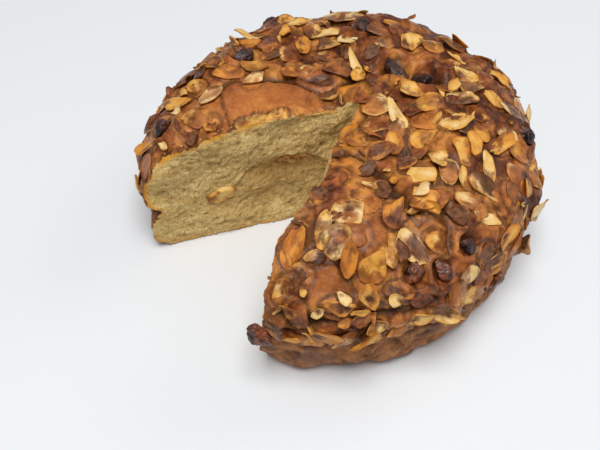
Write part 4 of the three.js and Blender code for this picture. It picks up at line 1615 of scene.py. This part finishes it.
    def hollows(self, mesh: bpy.types.Mesh, heights: np.ndarray) -> np.ndarray:
        """Says how far each point lies below the mesh around it, for the painted shade in the crust's hollow
        places.

        Args:
            mesh: The mesh.
            heights: The height at each of its points.

        Returns:
            The mean height around each point less its own.
        """
        ends = np.empty(len(mesh.edges) * 2, np.int32)
        mesh.edges.foreach_get("vertices", ends)
        first, second = ends.reshape(-1, 2).T
        size = len(heights)
        count = np.bincount(first, minlength=size) + np.bincount(second, minlength=size)
        around = heights
        for _ in range(self.hollow_passes):
            total = np.bincount(first, around[second], size) + np.bincount(second, around[first], size)
            around = total / np.maximum(count, 1)
        return around - heights

    def slot(self, side: Side, along: np.ndarray, height: np.ndarray) -> np.ndarray:
        """Gives the ragged slot that opens under the west face's ledge.

        Args:
            side: Which face.
            along: How far along it each point lies.
            height: How high each point lies.

        Returns:
            How far each point is in the slot, 0 to 1.
        """
        if side is Side.EAST:
            return np.zeros(len(along))
        ragged = self.slot_edge.at(np.stack([along, height, 0 * along], axis=1))
        gap = NOTCH.drop(along, height) - self.slot_drop - 0.9 * ragged
        return bell(gap, 1.1) * bell(along - NOTCH.ledge_at, self.slot_half)

    def peel(self, points: np.ndarray) -> np.ndarray:
        """Gives the strip beside the west face where the crust's skin came off.

        Args:
            points: The points of the plain body.

        Returns:
            How far each point is in the strip, 0 to 1.
        """
        along, proud = NOTCH.read(Side.WEST, points)
        ragged = 1.6 * self.peel_edge.at(points)
        length = smooth(along, self.peel_from - 4, self.peel_from + 4)
        length = length * smooth(along, self.peel_to + 4, self.peel_to - 4)
        width = smooth(-proud + 2.0 * ragged, self.peel_width + 2.0, self.peel_width - 2.0)
        return length * width * (points[:, 0] < 0)

    def beds(self, points: np.ndarray) -> tuple[np.ndarray, np.ndarray, np.ndarray]:
        """Gives the crust drawn up round the almonds that stuck to it.

        Args:
            points: Points of the smooth loaf.

        Returns:
            The height at each point, how near an almond it is, and how much painted shade its edge gets, 0 to
            1.
        """
        lift, halo, rim = (np.zeros(len(points)) for _ in range(3))
        rim_shades = draws(self.rim_shade_seed)
        for flake in self.flakes:
            at, outwards, sideways, _ = FORM.frame_at(flake.bearing, flake.reach)
            near = FORM.gap(points, flake.bearing, flake.reach) < 0.5 * flake.length + 5.0
            c, s = turned(flake.turn)
            u = (points[near] - at) @ (c * outwards + s * sideways)
            v = (points[near] - at) @ (c * sideways - s * outwards)
            gap = (np.hypot(2 * u / flake.length, 2 * v / flake.width) - 1) * flake.width / 2
            stuck = float(smooth(flake.glazed, 0.2, 0.7))
            lift[near] = np.maximum(lift[near], (0.25 + 0.45 * stuck) * bell(gap - 1.5, 1.2))
            halo[near] = np.maximum(halo[near], bell(np.maximum(gap - 0.4, 0.0), 1.5))
            # A line of painted shade round each flake, darker round some than others.
            rim[near] = np.maximum(rim[near], (0.25 + 0.7 * rim_shades()) * bell(gap - 0.4, 0.9))
        return lift, halo, rim

    def round_raisins(self, points: np.ndarray) -> tuple[np.ndarray, np.ndarray]:
        """Gives the crust drawn up round each raisin, with a narrow groove at the raisin itself.

        Args:
            points: Points of the smooth loaf.

        Returns:
            The height at each point, and how far it is over a raisin, where the crust keeps clear, 0 to 1.
        """
        lift, clear = np.zeros(len(points)), np.zeros(len(points))
        for bearing, reach, length, width, *_ in RAISINS:
            gap = FORM.gap(points, bearing, reach) - (length + width) / 4
            lift += 1.5 * bell(gap - 2.2, 2.4) - 1.2 * bell(np.maximum(gap, 0.0), 1.2)
            clear = np.maximum(clear, smooth(gap, 1.2, -1.5))
        return lift, clear


@dataclass(frozen=True)
class Template:
    """A flat flake to copy: its mesh, its points and how many sides it has."""

    mesh: bpy.types.Mesh
    points: np.ndarray
    sides: int


@dataclass
class Almonds:
    """The flaked almonds on the crust, all in one mesh."""

    finish: FlakeFinish = FlakeFinish("baked_almond")
    thickness: float = 0.75
    sunk: float = 0.3
    stuck_deeper: float = 0.3
    hug: float = 0.75
    stuck_hug: float = 0.97
    overhang: float = 0.42
    stack_reach: float = 0.36
    stack_step: float = 0.5
    stack_most: float = 1.5
    stack_on: float = 0.45
    look_seed: int = 77
    cover_seed: int = 21

    def keep_off_notch(self, flake: tuple) -> tuple:
        """Moves a flake off the notch, so that at most its edge overhangs a cut face.

        Args:
            flake: The flake as the chosen ones are listed.

        Returns:
            The same, moved where it has to be.
        """
        bearing, reach, length, width, *rest = flake
        point = FORM.place(bearing, reach)
        gap, out = NOTCH.distance(point)
        wanted = self.overhang * width
        if NOTCH.inside(point) or gap >= wanted:
            return flake
        point = point + out * (gap - wanted)
        return (math.degrees(math.atan2(point[1], point[0])), reach, length, width, *rest)

    def strew(self, rule: Strewing, used: list[np.ndarray]) -> list[Flake]:
        """Draws flakes over what is still free.

        Args:
            rule: The draw.
            used: The points that flakes lie at, to which the new ones are added.

        Returns:
            The flakes.
        """
        draw = draws(rule.seed)
        looks = draws(rule.seed + 100)
        spots = [(FORM.place(bearing, reach), size) for bearing, reach, size in BARE]
        spots += [(FORM.place(bearing, reach), 5 + length / 2) for bearing, reach, length, *_ in RAISINS]
        flakes = []
        for _ in range(rule.tries):
            if len(flakes) >= rule.count:
                break
            aside, far, share, turn, slim, lift = (draw() for _ in range(6))
            reach = rule.reach * math.sqrt(far)
            point = FORM.place(360 * aside, reach)
            length = rule.longest - (rule.longest - rule.shortest) * share
            taken = spots + [(other, rule.spacing) for other in used]
            if NOTCH.inside(point) or NOTCH.distance(point)[0] < length / 2:
                continue
            if any(np.linalg.norm(middle - point) < radius for middle, radius in taken):
                continue
            used.append(point)
            tone, burn, cup, glaze = looks(), looks(), looks(), looks()
            scorched = 0.0 if burn < 0.5 else 0.2 + 1.9 * (burn - 0.5)
            width = length * (0.25 + 0.5 * slim if rule is CHIPS else 0.6 + 0.3 * slim)
            free_end = 0.4 + 2.6 * lift * lift
            glazed = 0.75 * glaze
            if rule is STUCK_FLAKES:
                free_end, cup, glazed = 0.5 * free_end, 0.5 * cup, 0.35 + 0.65 * glaze
            form = (360 * aside, reach, length, width, 360 * turn, free_end)
            flakes.append(Flake(*form, 0.1 + 0.7 * tone, scorched, 1.6 * cup * cup, glazed))
        return flakes

    def template(self, sides: int, top: Sequence[float], below: Sequence[float]) -> Template:
        """Models one flat flake of half-sizes 1: a short cylinder whose ends are inset into rings.

        Args:
            sides: How many sides it has.
            top: The insets of the upper face, from the rim inwards.
            below: The insets of the lower face.

        Returns:
            The flake to copy.
        """
        bpy.ops.object.select_all(action="DESELECT")
        bpy.ops.mesh.primitive_cylinder_add(vertices=sides, radius=1.0, depth=1.0, location=(0, 0, -0.5))
        piece = bpy.context.object
        bpy.ops.object.transform_apply(location=True, rotation=True, scale=True)
        for height, insets in ((0.0, top), (-1.0, below)):
            edit_faces(piece, [abs(face.center.z - height) < 0.01 for face in piece.data.polygons])
            for inset in insets:
                bpy.ops.mesh.inset(thickness=inset, depth=0.0)
            bpy.ops.mesh.poke()
            bpy.ops.object.mode_set(mode="OBJECT")
        select_only(piece)
        bpy.ops.object.mode_set(mode="EDIT")
        bpy.ops.mesh.select_all(action="SELECT")
        bpy.ops.mesh.remove_doubles(threshold=0.01 * MM)
        bpy.ops.mesh.normals_make_consistent(inside=False)
        bpy.ops.object.mode_set(mode="OBJECT")
        mesh = piece.data
        points = raw_points(mesh)
        corners = np.empty(len(mesh.loops), np.int32)
        mesh.loops.foreach_get("vertex_index", corners)
        disc = np.clip(0.5 + points[corners, :2] / 2, 0.0, 1.0)
        mesh.uv_layers.new(name="flake").data.foreach_set("uv", disc.astype(np.float32).ravel())
        bpy.data.objects.remove(piece)
        return Template(mesh, points, sides)

    def broken(self, template: Template, looks: np.random.Generator) -> tuple[np.ndarray, np.ndarray]:
        """Dents a flake's outline and breaks pieces off it.

        Args:
            template: The flat flake.
            looks: Draws the dents and breaks.

        Returns:
            How far each point is along the flake and across it, about -1 to 1.
        """
        u, v = template.points[:, 0], template.points[:, 1]
        angle = np.arctan2(v, u)
        corner = np.round(angle / (2 * math.pi) * template.sides).astype(int) % template.sides
        waves = (2, 3, 4, 5, 7, 9)
        dent = sum(looks.normal(0, 0.14 / k) * np.cos(k * angle + looks.uniform(0, 6.3)) for k in waves)
        dent = dent + looks.uniform(-0.02, 0.02, template.sides)[corner]
        u, v = u * (1 + dent), v * (1 + dent) * (1 - 0.16 * u)
        for _ in range(looks.integers(2, 6)):
            way, cut = looks.uniform(0, 2 * math.pi), looks.uniform(0.52, 0.98)
            beyond = np.maximum(0.0, u * math.cos(way) + v * math.sin(way) - cut)
            u, v = u - beyond * math.cos(way), v - beyond * math.sin(way)
        return u, v

    def lay(self, template: Template, flake: Flake, stack: float, looks: np.random.Generator) -> np.ndarray:
        """Bends one flake onto the crust.

        Args:
            template: The flat flake.
            flake: The flake.
            stack: How far it is raised by the flakes that it lies on.
            looks: Draws its form.

        Returns:
            The flake's points.
        """
        stuck = smooth(flake.glazed, 0.3, 0.6)
        angle = np.arctan2(template.points[:, 1], template.points[:, 0])
        radius = np.hypot(template.points[:, 0], template.points[:, 1])
        u, v = self.broken(template, looks)
        at, outwards, sideways, up = FORM.frame_at(flake.bearing, flake.reach)
        c, s = turned(flake.turn)
        long = outwards * c + sideways * s
        across = np.cross(up, long)
        points = at + np.outer(u * flake.length / 2, long) + np.outer(v * flake.width / 2, across)
        loose = 1 - 0.7 * stuck
        rise = 1.3 * flake.lift * smooth(u, -0.6, 1.0) + (0.3 + flake.cup) * v * v
        rise = rise + loose * looks.normal(0, 0.6) * u * v
        ripple = looks.normal(0, 0.25) * np.sin(3.0 * u + looks.uniform(0, 6.3)) * radius
        rise += loose * (ripple + looks.normal(0, 0.5) * v)
        waves = looks.integers(3, 6) * angle + looks.uniform(0, 6.3)
        rise += loose * (0.1 + 0.28 * flake.cup) * np.cos(waves) * radius**2
        for _ in range(2):
            curl, towards = 2.4 * looks.uniform() ** 2.5, looks.uniform(0, 2 * math.pi)
            rise += loose * curl * np.maximum(0.0, np.cos(angle - towards)) ** 2 * radius**3
        edge = 1 - 0.45 * smooth(radius, 0.75, 1.0)
        sunk = self.sunk + self.stuck_deeper * stuck - stack
        above = template.points[:, 2] > -0.5
        extra = np.where(above, self.thickness * edge - sunk, -sunk * edge - 0.1)
        hug = self.hug + (self.stuck_hug - self.hug) * stuck
        corner = np.array([-0.8, 0.0, 0.8])
        grid = np.stack(np.meshgrid(corner, corner), axis=-1).reshape(-1, 2)
        spots = at + np.outer(grid[:, 0] * flake.length / 2, long)
        spots = spots + np.outer(grid[:, 1] * flake.width / 2, across)
        fine = FORM.fine_relief(FORM.plain(*FORM.nearest(spots))[0])[0]
        weights = np.linalg.lstsq(self.bends(*grid.T), fine, rcond=None)[0]
        resting = 0.6 * fine.max() + 0.4 * fine.mean()
        follow = 0.45 + 0.55 * stuck
        fit = follow * self.bends(*template.points[:, :2].T) @ weights + (1 - follow) * resting
        return points + np.outer(rise + extra - hug * FORM.height_over(points) + fit, up)

    def bends(self, u: np.ndarray, v: np.ndarray) -> np.ndarray:
        """Gives the terms of a doubly curved sheet at places on a flake, one row for each place."""
        return np.stack([np.ones(len(u)), u, v, u * u, u * v, v * v], axis=-1)

    def stacks(self, flakes: Sequence[Flake]) -> list[float]:
        """Says how far each flake is raised, because it lies on others that come before it.

        Args:
            flakes: The flakes.

        Returns:
            The raise of each flake, in millimetres.
        """
        raises, free = [], []
        for flake in flakes:
            middle, size = FORM.place(flake.bearing, flake.reach), flake.length
            reach = self.stack_reach
            under = [top for spot, far, top in free if np.linalg.norm(spot - middle) < reach * (far + size)]
            lifted = min(max(under, default=-self.stack_step) + self.stack_step, self.stack_most)
            raises.append(lifted)
            if flake.glazed < self.stack_on:
                free.append((middle, size, lifted))
        return raises

    def plan(self) -> list[Flake]:
        """Lists every flake: the chosen ones, the large ones between them, the curls and then the small ones.

        Returns:
            The flakes.
        """
        cover = draws(self.cover_seed)
        kept = [self.keep_off_notch(flake) for flake in CHOSEN_FLAKES]
        flakes = [Flake(*flake, 0.1 + 0.45 * flake[6] * cover()) for flake in kept]
        used = [FORM.place(flake.bearing, flake.reach) for flake in flakes]
        flakes += self.strew(LARGE_FLAKES, used)
        flakes += [Flake(*flake, 0.1) for flake in CURLS]
        flakes += self.strew(STUCK_FLAKES, used)
        return flakes + self.strew(CHIPS, used)

    def build(self, flakes: Sequence[Flake]) -> bpy.types.Object:
        """Builds the flakes, joins them and dresses them.

        Args:
            flakes: The flakes.

        Returns:
            All of them as one object.
        """
        free = self.template(20, (0.06, 0.26, 0.34), (0.06, 0.26, 0.34))
        stuck = self.template(14, (0.09, 0.42), ())
        looks = np.random.default_rng(self.look_seed)
        free_count = len(CHOSEN_FLAKES) + LARGE_FLAKES.count + len(CURLS)
        meshes = []
        for flake, stack in zip(flakes, self.stacks(flakes)):
            template = free if len(meshes) < free_count else stuck
            mesh = template.mesh.copy()
            write_points(mesh, self.lay(template, flake, stack, looks))
            bake = mesh.attributes.new("bake", "FLOAT_COLOR", "POINT")
            colour = np.array((flake.tone, flake.burn, looks.uniform(0.02, 0.98), flake.glazed), np.float32)
            bake.data.foreach_set("color", np.tile(colour, len(mesh.vertices)))
            meshes.append(mesh)
        LOG.info("%d flakes", len(flakes))
        return finish_piece(joined(meshes), self.finish.make(), "almond_flakes", "crust_crumb_and_almonds")


DENTS = Swell(31, 10, 3.4, 8, 0.3)  # the dents of raisins and apple, as in the solids


@dataclass
class Raisins:
    """The raisins in the crust, each its own piece in the place of its solid."""

    toasted_numbers: tuple[int, ...] = (4, 5, 6, 7)
    subdivisions: int = 5
    look_seed: int = 500
    facets: int = 9
    folds: Grain = Grain(6.5, 2, 2.0)
    fine_folds: Grain = Grain(2.6, 2, 6.0)

    def build(self) -> list[bpy.types.Object]:
        """Builds every raisin.

        Returns:
            The raisins.
        """
        plain, toasted = RAISIN_SKIN.make(), TOASTED_SKIN.make()
        pieces = []
        for index, (bearing, reach, length, width, height, turn, stand) in enumerate(RAISINS):
            halves = np.array([length, width, height]) / 2
            piece, way = add_ball(self.subdivisions)
            way /= np.linalg.norm(way, axis=1)[:, None]
            dents = 0.5 * DENTS.at(way * halves + 10 * np.array([index, 2.0 * index, 0.0]))
            x, y, z = self.crumple(way * halves + way * dents[:, None], halves, index).T
            at, *axes = FORM.frame_at(bearing, reach, folded=True)
            c, s = turned(turn)
            spun = np.stack([c * x - s * y, s * x + c * y, z], axis=1)
            write_points(piece.data, at + axes[2] * stand + spun @ axes)
            name = f"raisin_{index + 1}"
            material = toasted if index + 1 in self.toasted_numbers else plain
            pieces.append(finish_piece(piece, material, f"{name}_skin", "raisin_skin", name))
        return pieces

    def crumple(self, points: np.ndarray, halves: np.ndarray, index: int) -> np.ndarray:
        """Flattens a raisin's skin into facets and folds it.

        Args:
            points: The ball's points.
            halves: The three half-sizes.
            index: Which raisin it is.

        Returns:
            The points of the crumpled raisin.
        """
        looks = np.random.default_rng(self.look_seed + index)
        skin = points / halves
        for _ in range(self.facets):
            way = unit(looks.normal(size=3))
            beyond = np.maximum(0.0, skin @ way - looks.uniform(0.5, 0.85))
            skin = skin - 0.9 * beyond[:, None] * way
        points = skin * halves * 1.08
        way = points / np.linalg.norm(points, axis=1)[:, None]
        folds = bell(self.folds.at(points + 9.0 * index), 0.13)
        fine = bell(self.fine_folds.at(points - 5.0 * index), 0.2)
        return points - way * (0.95 * folds + 0.3 * fine - 0.25)[:, None]


@dataclass
class ApplePieces:
    """The pieces of apple that show in the cut faces, each its own piece."""

    subdivisions: int = 5
    proud: float = 1.9
    sunk_share: float = 0.15
    grain: Grain = Grain(2.2, 2, 4.0)

    def build(self) -> list[bpy.types.Object]:
        """Builds every piece of apple, a little proud of the crumb.

        Returns:
            The pieces.
        """
        material = BAKED_APPLE.make()
        pieces = []
        for index, (side, along, height, half_along, half_up, half_in, turn) in enumerate(APPLE_PIECES):
            piece, way = add_ball(self.subdivisions)
            points = way * (half_along, half_up, half_in)
            points += way * (0.5 * DENTS.at(points + (0.0, 10.0 * index, 30.0)))[:, None]
            c, s = turned(turn)
            foot, face_along, out = NOTCH.axes(side)
            middle = NOTCH.crumb(side, np.array([float(along)]), np.array([float(height)]))[0]
            at_along = along + c * points[:, 0] - s * points[:, 1]
            at_height = height + side.value * (s * points[:, 0] + c * points[:, 1])
            surface = NOTCH.crumb(side, at_along, at_height) + self.proud
            grain = self.grain.at(np.stack([at_along, 9.0 * np.full(len(points), index), at_height], axis=1))
            at_out = np.minimum(middle - self.sunk_share * half_in + points[:, 2], surface + 0.35 * grain)
            placed = foot + np.outer(at_along, face_along) + np.outer(at_out, out)
            placed[:, 2] = at_height
            write_points(piece.data, placed)
            name = f"apple_piece_{index + 1}"
            pieces.append(finish_piece(piece, material, f"{name}_flesh", "baked_apple", name))
        return pieces


@dataclass
class Crumbs:
    """Loose crumbs on the crust along the cut edges, all in one mesh."""

    seed: int = 61
    count: int = 44
    smallest: float = 0.3
    largest: float = 1.0
    crown_points: int = 200
    lumps: Grain = Grain(0.9, 2, 1.0)

    def build(self) -> bpy.types.Object:
        """Builds the crumbs, joins them and dresses them.

        Returns:
            All of them as one object.
        """
        draw = draws(self.seed)
        ball_piece, ball = add_ball(2)
        radii, reaches = FORM.curve[: self.crown_points, 0], FORM.reaches[: self.crown_points]
        meshes = []
        while len(meshes) < self.count:
            side = Side.WEST if draw() < 0.5 else Side.EAST
            along, back = 8 + 95 * draw(), 0.5 + 5 * draw() ** 2
            foot, way, out = NOTCH.axes(side)
            spot = foot + way * along - out * back
            reach = float(np.interp(np.hypot(spot[0], spot[1]), radii, reaches))
            size = self.smallest + (self.largest - self.smallest) * draw() ** 3
            at, *axes = FORM.frame_at(math.degrees(math.atan2(spot[1], spot[0])), reach)
            lump = ball * (1 + 0.35 * self.lumps.at(ball + 3.0 * len(meshes)))[:, None]
            lump = lump * (size, size * (0.6 + 0.4 * draw()), 0.7 * size)
            mesh = ball_piece.data.copy()
            write_points(mesh, at + axes[2] * 0.4 * size + lump @ axes)
            meshes.append(mesh)
        bpy.data.objects.remove(ball_piece)
        return finish_piece(joined(meshes), LOOSE_CRUMB.make(), "loose_crumbs", "crust_crumb_and_almonds")


# ---- The studio ----


@dataclass
class Studio:
    """A pale floor, soft light and the camera at the photograph's viewing angle."""

    azimuth: float = 45.0
    elevation: float = 46.48
    distance: float = 416.9
    pitch: float = 50.58
    yaw: float = -3.86
    aim_height: float = 37.0
    lens: float = 50.0
    floor_size: float = 4.0
    paper: tuple = linear(233, 236, 238)
    sky: tuple = (0.93, 0.96, 1.0, 1.0)
    sky_strength: float = 0.25

    def build(self) -> None:
        """Builds the floor, the lights and the camera."""
        self.floor()
        self.lights()
        self.camera()

    def floor(self) -> None:
        """Lays the plain floor."""
        bpy.ops.object.select_all(action="DESELECT")
        bpy.ops.mesh.primitive_plane_add(size=self.floor_size, location=(0, 0, 0))
        floor = bpy.context.object
        floor.name = "floor"
        material = bpy.data.materials.new("paper")
        material.use_nodes = True
        shader = material.node_tree.nodes["Principled BSDF"]
        shader.inputs["Base Color"].default_value = self.paper
        shader.inputs["Roughness"].default_value = 0.7
        floor.data.materials.append(material)

    def lamp(self, name: str, place: tuple[float, float, float], size: float, power: float) -> None:
        """Hangs one soft square lamp that points at the loaf.

        Args:
            name: Its name.
            place: Where it hangs, in metres.
            size: Its side, in metres.
            power: Its power, in watts.
        """
        data = bpy.data.lights.new(name, "AREA")
        data.shape = "SQUARE"
        data.size = size
        data.energy = power
        lamp = bpy.data.objects.new(name, data)
        bpy.context.collection.objects.link(lamp)
        lamp.location = place
        aim = Vector((0, 0, self.aim_height * MM)) - Vector(place)
        lamp.rotation_euler = aim.to_track_quat("-Z", "Y").to_euler()

    def lights(self) -> None:
        """Sets the sky and the lamps."""
        world = bpy.data.worlds.new("studio")
        bpy.context.scene.world = world
        world.use_nodes = True
        background = world.node_tree.nodes["Background"].inputs
        background["Color"].default_value = self.sky
        background["Strength"].default_value = self.sky_strength
        self.lamp("ceiling", (0.28, -0.28, 1.5), 0.8, 20.5)
        self.lamp("window", (0.2, 1.2, 1.0), 0.7, 3.0)

    def camera(self) -> None:
        """Places the camera that took in the loaf's outline as the photograph does."""
        (turn_c, turn_s), (climb_c, climb_s) = turned(self.azimuth), turned(self.elevation)
        (dip_c, dip_s), (swing_c, swing_s) = turned(self.pitch), turned(self.yaw)
        right = np.array([turn_c, turn_s, 0.0])
        away = np.array([-turn_s, turn_c, 0.0])
        upright = np.array([0.0, 0.0, 1.0])
        aim = LOAF_AXIS + upright * self.aim_height
        place = aim - away * self.distance * climb_c + upright * self.distance * climb_s
        ahead = (right * swing_s + away * swing_c) * dip_c - upright * dip_s
        side = right * swing_c - away * swing_s
        top = np.cross(side, ahead)
        data = bpy.data.cameras.new("camera")
        data.lens = self.lens
        data.sensor_width = 36.0
        camera = bpy.data.objects.new("camera", data)
        bpy.context.collection.objects.link(camera)
        facing = Matrix(np.stack([side, top, -ahead], axis=1).tolist()).to_4x4()
        camera.matrix_world = Matrix.Translation(Vector(place * MM)) @ facing
        bpy.context.scene.camera = camera


def main() -> None:
    """Builds the bread and its studio."""
    logging.basicConfig(level=logging.INFO, format="%(name)s: %(message)s")
    bpy.context.scene.view_settings.view_transform = "Standard"
    Studio().build()
    almonds = Almonds()
    flakes = almonds.plan()
    Loaf(flakes).build()
    almonds.build(flakes)
    Raisins().build()
    ApplePieces().build()
    Crumbs().build()


if __name__ == "__main__":
    main()
